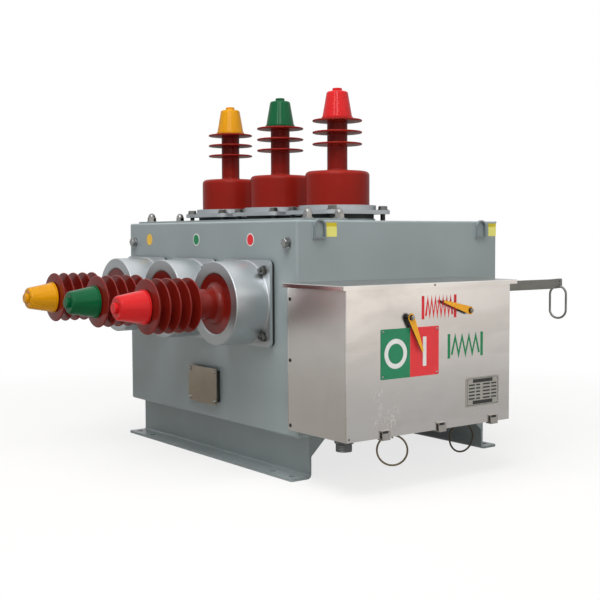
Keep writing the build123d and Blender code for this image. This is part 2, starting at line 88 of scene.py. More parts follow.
class Graph:
    """A node tree with short ways to add and join its nodes."""

    def __init__(self, tree: bpy.types.NodeTree) -> None:
        """Keeps the tree that the nodes go into."""
        self.tree = tree

    def add(self, kind: str, **settings: object) -> bpy.types.Node:
        """Adds a node.

        Args:
            kind: The node's type name.
            settings: Values for the node's own properties.

        Returns:
            The new node.
        """
        node = self.tree.nodes.new(kind)
        for key, value in settings.items():
            setattr(node, key, value)
        return node

    def join(self, source: bpy.types.NodeSocket, target: bpy.types.NodeSocket) -> None:
        """Links an output to an input."""
        self.tree.links.new(source, target)

    def feed(self, target: bpy.types.NodeSocket, value: object) -> None:
        """Gives an input a linked output or a plain value."""
        if isinstance(value, bpy.types.NodeSocket):
            self.join(value, target)
        else:
            target.default_value = value

    def math(self, operation: str, first: object, second: object = 0.0) -> bpy.types.NodeSocket:
        """Adds a sum of two values.

        Args:
            operation: The sum's name, such as ADD.
            first: An output or a number.
            second: An output or a number.

        Returns:
            The sum's output.
        """
        node = self.add("ShaderNodeMath", operation=operation)
        self.feed(node.inputs[0], first)
        self.feed(node.inputs[1], second)
        return node.outputs[0]

    def blend(self, share: object, first: object, second: object) -> bpy.types.NodeSocket:
        """Adds a mix of two colours.

        Args:
            share: How much of the second colour shows, as an output or a number.
            first: The first colour, as an output or four numbers.
            second: The second colour, as an output or four numbers.

        Returns:
            The mixed colour's output.
        """
        node = self.add("ShaderNodeMix", data_type="RGBA")
        self.feed(node.inputs[0], share)
        self.feed(node.inputs[6], first)
        self.feed(node.inputs[7], second)
        return node.outputs[2]

    def spread(self, value: object, low: float, high: float, start: float = 0.0,
               end: float = 1.0) -> bpy.types.NodeSocket:
        """Adds a clamped map from one range of values to another.

        Args:
            value: The output to map.
            low: The result at the start.
            high: The result at the end.
            start: The value that gives the low result.
            end: The value that gives the high result.

        Returns:
            The mapped output.
        """
        node = self.add("ShaderNodeMapRange", clamp=True)
        self.feed(node.inputs["Value"], value)
        node.inputs["From Min"].default_value = start
        node.inputs["From Max"].default_value = end
        node.inputs["To Min"].default_value = low
        node.inputs["To Max"].default_value = high
        return node.outputs["Result"]

    def noise(self, place: bpy.types.NodeSocket, scale: object, detail: float = 2.0,
              distortion: float = 0.0) -> bpy.types.NodeSocket:
        """Adds soft noise.

        Args:
            place: The coordinates that feed it.
            scale: Its scale, as an output or a number.
            detail: How many finer layers it has.
            distortion: How far it is bent.

        Returns:
            The noise's value.
        """
        node = self.add("ShaderNodeTexNoise")
        self.join(place, node.inputs["Vector"])
        self.feed(node.inputs["Scale"], scale)
        node.inputs["Detail"].default_value = detail
        node.inputs["Distortion"].default_value = distortion
        return node.outputs[0]

    def parts(self, vector: bpy.types.NodeSocket) -> bpy.types.bpy_prop_collection:
        """The X, Y and Z of a vector, by name."""
        node = self.add("ShaderNodeSeparateXYZ")
        self.join(vector, node.inputs[0])
        return node.outputs


class EffectGroups:
    """The shader node groups that several finishes share."""

    dust_lean = (0.35, 1.0)
    dust_scale = 45.0
    dust_span = (0.35, 0.65)
    smear_slant = math.radians(28)
    smear_stretch = (5.0, 9.0, 15.0)
    smear_span = (0.42, 0.66)
    smear_share = 0.75
    spot_scale = 42.0
    spot_span = (0.58, 0.74)
    spot_share = 0.12
    scuff_margin = 0.016
    crackle_scale = 48.0
    crackle_width = (0.014, 0.036)
    gap_scale = 30.0
    gap_span = (0.4, 0.52)

    def __init__(self) -> None:
        """Builds each group once."""
        self.clouds = self._noise_group("clouds", detail=3.0, low=0.15, high=0.85)
        self.grain = self._noise_group("grain", detail=2.0, low=0.0, high=1.0)
        self.streaks = self._streak_group()
        self.dust = self._dust_group()
        self.smudges = self._smudge_group()
        self.scuffs = self._scuff_group()

    @staticmethod
    def _start(name: str, inputs: Sequence[tuple[str, str]], output: str) -> tuple[Graph, dict, object]:
        """Starts a group.

        Args:
            name: The group's name.
            inputs: Each input's name and socket type.
            output: The single output's name.

        Returns:
            The graph, its input sockets by name and the socket that takes the result.
        """
        tree = bpy.data.node_groups.new(name, "ShaderNodeTree")
        for label, kind in inputs:
            tree.interface.new_socket(name=label, in_out="INPUT", socket_type=kind)
        tree.interface.new_socket(name=output, in_out="OUTPUT", socket_type="NodeSocketFloat")
        graph = Graph(tree)
        start = graph.add("NodeGroupInput")
        end = graph.add("NodeGroupOutput")
        return graph, {label: start.outputs[label] for label, kind in inputs}, end.inputs[output]

    def _noise_group(self, name: str, detail: float, low: float, high: float) -> bpy.types.NodeTree:
        """A group that puts out soft noise, spread between two levels."""
        graph, given, result = self._start(
            name, (("Vector", "NodeSocketVector"), ("Scale", "NodeSocketFloat")), "Mask")
        noise = graph.noise(given["Vector"], given["Scale"], detail)
        graph.join(graph.spread(noise, 0.0, 1.0, low, high), result)
        return graph.tree

    def _streak_group(self) -> bpy.types.NodeTree:
        """A group that puts out fine noise drawn out along one way, as rolled or turned metal has."""
        graph, given, result = self._start(
            "streaks", (("Vector", "NodeSocketVector"), ("Stretch", "NodeSocketVector")), "Mask")
        scaled = graph.add("ShaderNodeVectorMath", operation="MULTIPLY")
        graph.join(given["Vector"], scaled.inputs[0])
        graph.join(given["Stretch"], scaled.inputs[1])
        graph.join(graph.noise(scaled.outputs[0], 1.0, detail=3.0), result)
        return graph.tree

    def _dust_group(self) -> bpy.types.NodeTree:
        """A group that puts out a patchy mask on faces that look up."""
        graph, given, result = self._start(
            "settled_dust", (("Vector", "NodeSocketVector"), ("Amount", "NodeSocketFloat")), "Mask")
        normal = graph.add("ShaderNodeNewGeometry").outputs["Normal"]
        upward = graph.spread(graph.parts(normal)["Z"], 0.0, 1.0, *self.dust_lean)
        patches = graph.noise(given["Vector"], self.dust_scale, detail=6.0)
        patchy = graph.spread(patches, 0.2, 1.0, *self.dust_span)
        graph.join(graph.math("MULTIPLY", graph.math("MULTIPLY", upward, patchy), given["Amount"]), result)
        return graph.tree

    def _smudge_group(self) -> bpy.types.NodeTree:
        """A group that puts out slanting, patchy smears, as handled sheet metal has."""
        graph, given, result = self._start(
            "smudges", (("Vector", "NodeSocketVector"), ("Amount", "NodeSocketFloat")), "Mask")
        slanted = graph.add("ShaderNodeMapping")
        slanted.inputs["Rotation"].default_value = (0.0, self.smear_slant, 0.0)
        slanted.inputs["Scale"].default_value = self.smear_stretch
        graph.join(given["Vector"], slanted.inputs["Vector"])
        broad = graph.noise(slanted.outputs[0], 1.0, detail=3.0, distortion=0.8)
        small = graph.noise(given["Vector"], self.spot_scale, detail=1.5)
        wide = graph.spread(broad, 0.0, self.smear_share, *self.smear_span)
        spots = graph.spread(small, 0.0, self.spot_share, *self.spot_span)
        graph.join(graph.math("MULTIPLY", graph.math("ADD", wide, spots), given["Amount"]), result)
        return graph.tree

    def _scuff_group(self) -> bpy.types.NodeTree:
        """A group that puts out a crackle of pale residue inside a box of the object."""
        graph, given, result = self._start(
            "scuffs", (("Vector", "NodeSocketVector"), ("Low", "NodeSocketVector"),
                       ("High", "NodeSocketVector")), "Mask")
        place, low, high = (graph.parts(given[label]) for label in ("Vector", "Low", "High"))
        inside = None
        for axis in ("X", "Z"):
            above = graph.math("SUBTRACT", place[axis], low[axis])
            below = graph.math("SUBTRACT", high[axis], place[axis])
            margin = graph.spread(graph.math("MINIMUM", above, below), 0.0, 1.0, 0.0, self.scuff_margin)
            inside = margin if inside is None else graph.math("MULTIPLY", inside, margin)
        lines = graph.noise(given["Vector"], self.crackle_scale, distortion=1.6)
        ridge = graph.math("ABSOLUTE", graph.math("SUBTRACT", lines, 0.5))
        crackle = graph.spread(ridge, 1.0, 0.0, *self.crackle_width)
        gaps = graph.spread(graph.noise(given["Vector"], self.gap_scale), 0.0, 1.0, *self.gap_span)
        graph.join(graph.math("MULTIPLY", graph.math("MULTIPLY", crackle, gaps), inside), result)
        return graph.tree


class Pattern(Enum):
    """What a finish shows on top of its clouds and its grain."""

    PLAIN = "plain"
    ROLLED = "rolled"
    TURNED = "turned"
    THREAD = "thread"
    HALVES = "halves"


@dataclass(frozen=True)
class Finish:
    """One surface finish and the values that drive its nodes."""

    name: str
    colour: Colour
    shade: Colour
    roughness: tuple[float, float]
    cloud_scale: float
    grain_scale: float
    grain_depth: float
    metallic: float = 0.0
    specular: float = 0.5
    dust: float = 0.0
    pattern: Pattern = Pattern.PLAIN
    second: Colour = (0.0, 0.0, 0.0)
    split: float = 0.0
    # facing: faces that look another way take the second colour; the finishes that use it paint light and
    # shade with it.
    facing: Way | None = None
    smudge: float = 0.0
    smudge_colour: Colour = (0.0, 0.0, 0.0)
    scuff: tuple[Way, Way] | None = None

    def material(self, effects: EffectGroups) -> bpy.types.Material:
        """Builds the finish as a material.

        Args:
            effects: The shared node groups.

        Returns:
            The material.
        """
        material = bpy.data.materials.new(f"{self.name}_finish")
        material.use_nodes = True
        graph = Graph(material.node_tree)
        shader = material.node_tree.nodes["Principled BSDF"]
        place = graph.add("ShaderNodeTexCoord").outputs["Object"]
        clouds = self._group(graph, effects.clouds, place, Scale=self.cloud_scale)
        colour = graph.blend(clouds, (*self.colour, 1.0), (*self.shade, 1.0))
        colour = self._patterned_colour(graph, place, clouds, colour)
        roughness = graph.spread(clouds, *self.roughness)
        if self.smudge:
            smudge = self._group(graph, effects.smudges, place, Amount=self.smudge)
            colour = graph.blend(smudge, colour, (*self.smudge_colour, 1.0))
            roughness = graph.math("ADD", roughness, graph.math("MULTIPLY", smudge, SMUDGE_ROUGHNESS))
        if self.scuff:
            scuff = self._group(graph, effects.scuffs, place, Low=self.scuff[0], High=self.scuff[1])
            colour = graph.blend(scuff, colour, (*SCUFF_COLOUR, 1.0))
            roughness = graph.math("ADD", roughness, graph.math("MULTIPLY", scuff, SMUDGE_ROUGHNESS))
        if self.dust:
            dust = self._group(graph, effects.dust, place, Amount=self.dust)
            colour = graph.blend(dust, colour, (*DUST_COLOUR, 1.0))
        graph.join(colour, shader.inputs["Base Color"])
        graph.join(roughness, shader.inputs["Roughness"])
        shader.inputs["Metallic"].default_value = self.metallic
        shader.inputs["Specular IOR Level"].default_value = self.specular
        bump = graph.add("ShaderNodeBump")
        bump.inputs["Strength"].default_value = 1.0
        bump.inputs["Distance"].default_value = self.grain_depth
        graph.join(self._height(graph, effects, place), bump.inputs["Height"])
        graph.join(bump.outputs["Normal"], shader.inputs["Normal"])
        return material

    @staticmethod
    def _group(graph: Graph, tree: bpy.types.NodeTree, place: bpy.types.NodeSocket,
               **values: object) -> bpy.types.NodeSocket:
        """Places a shared group in a material.

        Args:
            graph: The material's graph.
            tree: The group.
            place: The coordinates that feed it.
            values: The group's other inputs.

        Returns:
            The group's output.
        """
        node = graph.add("ShaderNodeGroup", node_tree=tree)
        graph.join(place, node.inputs["Vector"])
        for label, value in values.items():
            graph.feed(node.inputs[label], value)
        return node.outputs[0]

    def _patterned_colour(self, graph: Graph, place: bpy.types.NodeSocket, clouds: bpy.types.NodeSocket,
                          colour: bpy.types.NodeSocket) -> bpy.types.NodeSocket:
        """The base colour with the pattern's second colour where it shows.

        Args:
            graph: The material's graph.
            place: Object coordinates.
            clouds: The cloud mask.
            colour: The base colour so far.

        Returns:
            The base colour's output.
        """
        if self.pattern is Pattern.HALVES:
            right = graph.math("GREATER_THAN", graph.parts(place)["X"], self.split)
            return graph.blend(right, colour, self._second_colour(graph, clouds))
        # Faces that look away from facing take the second colour: a lit and a shaded copy of one finish,
        # painted light and shade.
        if self.facing:
            normal = graph.add("ShaderNodeNewGeometry").outputs["True Normal"]
            toward = graph.add("ShaderNodeVectorMath", operation="DOT_PRODUCT")
            graph.join(normal, toward.inputs[0])
            toward.inputs[1].default_value = self.facing
            away = graph.math("LESS_THAN", toward.outputs["Value"], FACING_LIMIT)
            return graph.blend(away, colour, self._second_colour(graph, clouds))
        return colour

    def _second_colour(self, graph: Graph, clouds: bpy.types.NodeSocket) -> bpy.types.NodeSocket:
        """The second colour, a little duller inside the clouds."""
        dull = tuple(value * DULL_SHARE for value in self.second)
        return graph.blend(clouds, (*self.second, 1.0), (*dull, 1.0))

    def _height(self, graph: Graph, effects: EffectGroups,
                place: bpy.types.NodeSocket) -> bpy.types.NodeSocket:
        """The height that feeds the finish's bump.

        Args:
            graph: The material's graph.
            effects: The shared node groups.
            place: Object coordinates.

        Returns:
            The height's output.
        """
        grain = self._group(graph, effects.grain, place, Scale=self.grain_scale)
        if self.pattern is Pattern.ROLLED:
            lines = self._group(graph, effects.streaks, place, Stretch=ROLLED_STRETCH)
            waves = self._group(graph, effects.grain, place, Scale=ROLLED_WAVE_SCALE)
            fine = graph.math("ADD", graph.math("MULTIPLY", lines, ROLLED_LINE_SHARE),
                              graph.math("MULTIPLY", grain, ROLLED_GRAIN_SHARE))
            return graph.math("ADD", fine, waves)
        if self.pattern is Pattern.TURNED:
            lines = self._group(graph, effects.streaks, place, Stretch=TURNED_STRETCH)
            return graph.math("ADD", graph.math("MULTIPLY", lines, TURNED_LINE_SHARE), grain)
        if self.pattern is Pattern.THREAD:
            wave = graph.add("ShaderNodeTexWave", bands_direction="Z")
            wave.inputs["Scale"].default_value = THREAD_SCALE
            graph.join(place, wave.inputs["Vector"])
            return graph.math("ADD", wave.outputs["Fac"], graph.math("MULTIPLY", grain, THREAD_GRAIN_SHARE))
        return grain


SMUDGE_ROUGHNESS = 0.16
SCUFF_COLOUR = srgb(240, 238, 234)
DUST_COLOUR = srgb(176, 172, 164)
FACING_LIMIT = 0.7
DULL_SHARE = 0.92
ROLLED_STRETCH = (14.0, 14.0, 900.0)
ROLLED_WAVE_SCALE = 7.0
ROLLED_LINE_SHARE = 0.035
ROLLED_GRAIN_SHARE = 0.02
TURNED_STRETCH = (2600.0, 9.0, 9.0)
TURNED_LINE_SHARE = 0.6
THREAD_SCALE = 110.0
THREAD_GRAIN_SHARE = 0.1
SHARP_ANGLE = math.radians(32)


def cap_plastic(name: str, colour: Colour, shade: Colour) -> Finish:
    """The glossy plastic of a bushing's cap."""
    return Finish(name, colour, shade, (0.12, 0.16), 25.0, 700.0, 0.00003, specular=0.22)


def ink(name: str, colour: Colour, shade: Colour, roughness: tuple[float, float] = (0.45, 0.6)) -> Finish:
    """A printed colour."""
    return Finish(name, colour, shade, roughness, 60.0, 900.0, 0.00002)


TANK_PAINT = Finish("tank_paint", srgb(145, 155, 157), srgb(128, 138, 139), (0.27, 0.29), 5.0, 420.0,
                    0.00003, dust=0.12)
# The lugs take a darker copy of the tank paint: painted shade.
LUG_PAINT_SHADED = replace(TANK_PAINT, name="lug_paint", colour=srgb(122, 131, 134), shade=srgb(108, 117, 119))
GASKET_RUBBER = Finish("gasket_rubber", srgb(28, 30, 31), srgb(40, 42, 42), (0.6, 0.8), 40.0, 1500.0, 0.0001)
STAINLESS = Finish("stainless", srgb(243, 241, 239), srgb(232, 229, 226), (0.16, 0.26), 6.0, 500.0, 0.0008,
                   metallic=1.0, pattern=Pattern.ROLLED, smudge=0.4, smudge_colour=srgb(198, 193, 188))
SIDE_STAINLESS = replace(STAINLESS, name="side_stainless", roughness=(0.3, 0.42), smudge=0.15)
# The lid is lighter on the faces that look to the front and darker elsewhere, its top most of all: a painted
# highlight on the front rim and painted shade on the top.
LID_STAINLESS_SHADED_TOP = replace(STAINLESS, name="lid_stainless", colour=srgb(244, 243, 241),
                        shade=srgb(236, 234, 231), second=srgb(222, 220, 217), facing=(0.0, -1.0, 0.0))
CLIP_STEEL = Finish("clip_steel", srgb(206, 203, 199), srgb(178, 174, 168), (0.22, 0.36), 60.0, 700.0, 0.0003,
                    metallic=1.0)
PATINA_STEEL = Finish("patina_steel", srgb(186, 175, 160), srgb(160, 150, 138), (0.24, 0.32), 14.0, 600.0,
                      0.00012, metallic=1.0, pattern=Pattern.ROLLED)
# Faces that look left, the flange face and the ring face, take the darker colour and the rest the lighter
# second colour: painted shade on the left faces, a lit and a shaded copy of one metal.
CAST_ALUMINIUM_SHADED_FACES = Finish("cast_aluminium", srgb(186, 190, 193), srgb(176, 180, 183), (0.35, 0.38), 12.0, 700.0,
                        0.00005, metallic=0.9, pattern=Pattern.TURNED, second=srgb(210, 215, 218),
                        facing=(-1.0, 0.0, 0.0))
FLANGE_ALUMINIUM = Finish("flange_aluminium", srgb(176, 181, 185), srgb(162, 167, 171), (0.34, 0.44), 14.0,
                          700.0, 0.00008, metallic=0.55)
RED_EPOXY = Finish("red_epoxy", srgb(136, 31, 23), srgb(124, 26, 19), (0.18, 0.28), 16.0, 500.0, 0.00005,
                   specular=0.1, dust=0.03)
# A darker copy of the red epoxy for the side bushings: painted shade.
SIDE_EPOXY_SHADED = replace(RED_EPOXY, name="side_epoxy", colour=srgb(114, 24, 17), shade=srgb(102, 20, 14),
                     roughness=(0.12, 0.2), specular=0.3)
YELLOW_CAP = cap_plastic("yellow_cap", srgb(200, 138, 3), srgb(192, 131, 3))
GREEN_CAP = cap_plastic("green_cap", srgb(3, 83, 47), srgb(3, 76, 42))
RED_CAP = cap_plastic("red_cap", srgb(192, 30, 32), srgb(183, 26, 29))
CAPS = (YELLOW_CAP, GREEN_CAP, RED_CAP)
ZINC_STEEL = Finish("zinc_steel", srgb(176, 164, 132), srgb(150, 138, 104), (0.25, 0.4), 60.0, 900.0,
                    0.00004, metallic=1.0)
RING_STEEL = replace(ZINC_STEEL, name="ring_steel", colour=srgb(138, 126, 100), shade=srgb(104, 94, 74))
# A darker copy of the ring steel for the right pull ring.
DARKER_RING_STEEL = replace(ZINC_STEEL, name="dull_ring_steel", colour=srgb(92, 85, 70), shade=srgb(60, 56, 48))
ZINC_THREAD = Finish("zinc_thread", srgb(122, 125, 126), srgb(98, 100, 101), (0.3, 0.45), 60.0, 900.0,
                     0.0006, metallic=1.0, pattern=Pattern.THREAD)
BRIGHT_STEEL = Finish("bright_steel", srgb(182, 183, 183), srgb(138, 138, 135), (0.1, 0.2), 90.0, 900.0,
                      0.00004, metallic=1.0)
STUD_STEEL = Finish("stud_steel", srgb(132, 133, 131), srgb(104, 104, 101), (0.26, 0.4), 90.0, 900.0, 0.00004,
                    metallic=1.0)
DARK_STEEL = Finish("dark_steel", srgb(58, 58, 58), srgb(44, 44, 44), (0.35, 0.5), 60.0, 900.0, 0.00005,
                    metallic=0.6)
LEVER_STEEL = Finish("lever_steel", srgb(124, 124, 119), srgb(108, 108, 102), (0.4, 0.55), 18.0, 700.0,
                     0.00008, metallic=0.55)
WIRE_STEEL = Finish("wire_steel", srgb(152, 151, 146), srgb(120, 120, 115), (0.3, 0.45), 60.0, 900.0, 0.00004,
                    metallic=0.9)
# The pointers are orange on the faces that look to the front and near-black on their sides and back, which
# mirror in the cover as a dark edge: painted shadow.
POINTER_PAINT_SHADOW_SIDES = Finish("pointer_paint", srgb(236, 168, 28), srgb(226, 156, 20), (0.3, 0.4), 40.0, 900.0,
                       0.00004, second=srgb(22, 20, 18), facing=(0.0, -1.0, 0.0))
RATING_PLATE = Finish("rating_plate", srgb(196, 194, 188), srgb(180, 178, 172), (0.28, 0.4), 30.0, 900.0,
                      0.00004, metallic=0.85)
BLACK_INK = Finish("black_ink", srgb(34, 34, 34), srgb(48, 48, 48), (0.5, 0.6), 90.0, 900.0, 0.00002)
WHITE_INK = ink("white_ink", srgb(226, 226, 224), srgb(214, 214, 212), (0.4, 0.5))
RED_INK = ink("red_ink", srgb(218, 38, 48), srgb(204, 32, 42))
GREEN_INK = ink("green_ink", srgb(14, 128, 78), srgb(12, 114, 68))
YELLOW_INK = ink("yellow_ink", srgb(236, 190, 70), srgb(226, 178, 60), (0.4, 0.55))
STICKER_BAND = ink("sticker_band", srgb(196, 178, 30), srgb(186, 168, 26), (0.4, 0.5))
STICKER_FIELD = ink("sticker_field", srgb(224, 220, 120), srgb(214, 208, 104), (0.4, 0.5))


class Workshop:
    """Makes finished pieces: it holds the materials and puts meshes in the scene on their bodies."""

    def __init__(self) -> None:
        """Builds the shared effects and starts with no materials."""
        self.effects = EffectGroups()
        self.materials: dict[str, bpy.types.Material] = {}

    def material(self, finish: Finish) -> bpy.types.Material:
        """A finish's material, built the first time it is asked for."""
        if finish.name not in self.materials:
            self.materials[finish.name] = finish.material(self.effects)
        return self.materials[finish.name]

    def paint(self, finish: Finish, *nodes: str) -> None:
        """Gives solids of the frame a finish.

        Args:
            finish: The finish.
            nodes: The names of the solids.
        """
        for name in nodes:
            mesh = frame["nodes"][name].data
            mesh.materials.clear()
            mesh.materials.append(self.material(finish))
            log.info("%s takes %s", name, finish.name)

    def piece(self, name: str, mesh: bpy.types.Mesh, finish: Finish, body: str, slot: str) -> None:
        """Puts a finished mesh in the scene on the body that it moves with.

        Args:
            name: The piece's name.
            mesh: Its mesh, in place.
            finish: Its finish.
            body: The body that it moves with.
            slot: Not used.
        """
        mesh.name = name
        mesh.materials.clear()
        mesh.materials.append(self.material(finish))
        mesh.polygons.foreach_set("material_index", [0] * len(mesh.polygons))
        mesh.shade_smooth()
        mesh.set_sharp_from_angle(angle=SHARP_ANGLE)
        thing = bpy.data.objects.new(name, mesh)
        bpy.context.scene.collection.objects.link(thing)
        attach(thing, body)
        log.info("%s rides on %s with %d faces", name, body, len(mesh.polygons))

    def fasten(self, name: str, fastener: "Fastener", places: Sequence[Vector],
               facing: Vector | Sequence[Vector], finish: Finish, slot: str = "zinc_steel") -> None:
        """Stands a fastener at every place and puts them in the scene as one piece on the root body.

        Args:
            name: The piece's name.
            fastener: What stands there.
            places: Where each one stands.
            facing: The way that all of them point, or one way for each.
            finish: Their finish.
            slot: The record's material slot that they go with.
        """
        ways = [facing] * len(places) if isinstance(facing, Vector) else facing
        mesh = fastener.stand(places, ways, self.material(finish))
        self.piece(name, mesh, finish, ROOT, slot)


@dataclass(frozen=True)
class Face:
    """A flat face that thin pieces lie on: its origin, its two ways along and its way out."""

    origin: Vector
    right: Vector
    up: Vector
    out: Vector

    def at(self, across: float, height: float, lift: float = 0.0) -> Vector:
        """The point of the frame at a place on the face.

        Args:
            across: The distance along the face's right.
            height: The distance along its up.
            lift: The distance out of the face.

        Returns:
            The point.
        """
        return self.origin + self.right * across + self.up * height + self.out * lift


def front_face(y: float) -> Face:
    """A face that looks to the front, with its places given as X and Z."""
    return Face(Vector((0, y, 0)), Vector((1, 0, 0)), UP, FRONT)


def left_face(x: float) -> Face:
    """A face that looks to the left, with its places given as Y and Z."""
    return Face(Vector((x, 0, 0)), BACK, UP, LEFT)


class Cutout:
    """Thin flat pieces cut from sheet or print, laid on one face and joined in one mesh."""

    def __init__(self, face: Face, depth: float) -> None:
        """Starts an empty mesh.

        Args:
            face: The face that the pieces lie on.
            depth: How far they stand out of it.
        """
        self.face = face
        self.depth = depth
        self.mesh = bmesh.new()

    def _loop(self, outline: Sequence[Point], lift: float) -> list[bmesh.types.BMVert]:
        """New corners along an outline at one height above the face."""
        return [self.mesh.verts.new(self.face.at(across, height, lift)) for across, height in outline]

    def _wall(self, low: Sequence[bmesh.types.BMVert], high: Sequence[bmesh.types.BMVert]) -> None:
        """Faces between two loops of corners."""
        for index in range(len(low)):
            following = (index + 1) % len(low)
            self.mesh.faces.new((low[index], low[following], high[following], high[index]))

    def sheet(self, outline: Sequence[Point]) -> None:
        """Adds a filled outline."""
        low = self._loop(outline, 0.0)
        high = self._loop(outline, self.depth)
        self.mesh.faces.new(high)
        self.mesh.faces.new(low)
        self._wall(low, high)

    def band(self, outer: Sequence[Point], inner: Sequence[Point]) -> None:
        """Adds the band between two outlines that have as many corners as each other."""
        low = (self._loop(outer, 0.0), self._loop(inner, 0.0))
        high = (self._loop(outer, self.depth), self._loop(inner, self.depth))
        self._wall(low[0], high[0])
        self._wall(low[1], high[1])
        self._wall(high[0], high[1])
        self._wall(low[0], low[1])

    def finish(self) -> bpy.types.Mesh:
        """The closed mesh, with its faces pointing out."""
        bmesh.ops.recalc_face_normals(self.mesh, faces=self.mesh.faces)
        mesh = bpy.data.meshes.new("cutout")
        self.mesh.to_mesh(mesh)
        self.mesh.free()
        return mesh


def circle(centre: Point, radius: float, count: int = 48) -> list[Point]:
    """Points round a circle.

    Args:
        centre: The middle.
        radius: The radius.
        count: How many points.

    Returns:
        The points in order.
    """
    turns = (2 * math.pi * index / count for index in range(count))
    return [(centre[0] + radius * math.cos(turn), centre[1] + radius * math.sin(turn)) for turn in turns]


def rectangle(low: Point, high: Point) -> list[Point]:
    """The corners of a rectangle, from its lower left and upper right ones."""
    return [low, (high[0], low[1]), high, (low[0], high[1])]


def evenly(start: float, end: float, count: int) -> list[float]:
    """Evenly spaced values from one end to the other."""
    return [start + (end - start) * index / (count - 1) for index in range(count)]


def rounded(low: Point, high: Point, radius: float, steps: int = 5) -> list[Point]:
    """A rectangle with round corners.

    Args:
        low: The lower left corner.
        high: The upper right corner.
        radius: The corners' radius.
        steps: How many points each corner has after its first.

    Returns:
        The points in order.
    """
    centres = ((high[0] - radius, high[1] - radius), (low[0] + radius, high[1] - radius),
               (low[0] + radius, low[1] + radius), (high[0] - radius, low[1] + radius))
    points = []
    for quarter, centre in enumerate(centres):
        for step in range(steps + 1):
            turn = math.pi / 2 * (quarter + step / steps)
            points.append((centre[0] + radius * math.cos(turn), centre[1] + radius * math.sin(turn)))
    return points


def stroke(points: Sequence[Point], width: float) -> list[Point]:
    """The outline of a line of constant width with mitred corners.

    Args:
        points: The line's corners.
        width: The line's width.

    Returns:
        The outline's points in order.
    """
    left, right = [], []
    for index, point in enumerate(points):
        here = Vector(point)
        before = (here - Vector(points[index - 1])).normalized() if index else None
        after = (Vector(points[index + 1]) - here).normalized() if index < len(points) - 1 else None
        along = ((before or after) + (after or before)).normalized()
        normal = Vector((-along.y, along.x))
        lean = along.dot(after or before)
        side = normal * (width / 2 / max(lean, MITRE_LIMIT))
        left.append(tuple(here + side))
        right.append(tuple(here - side))
    return left + right[::-1]


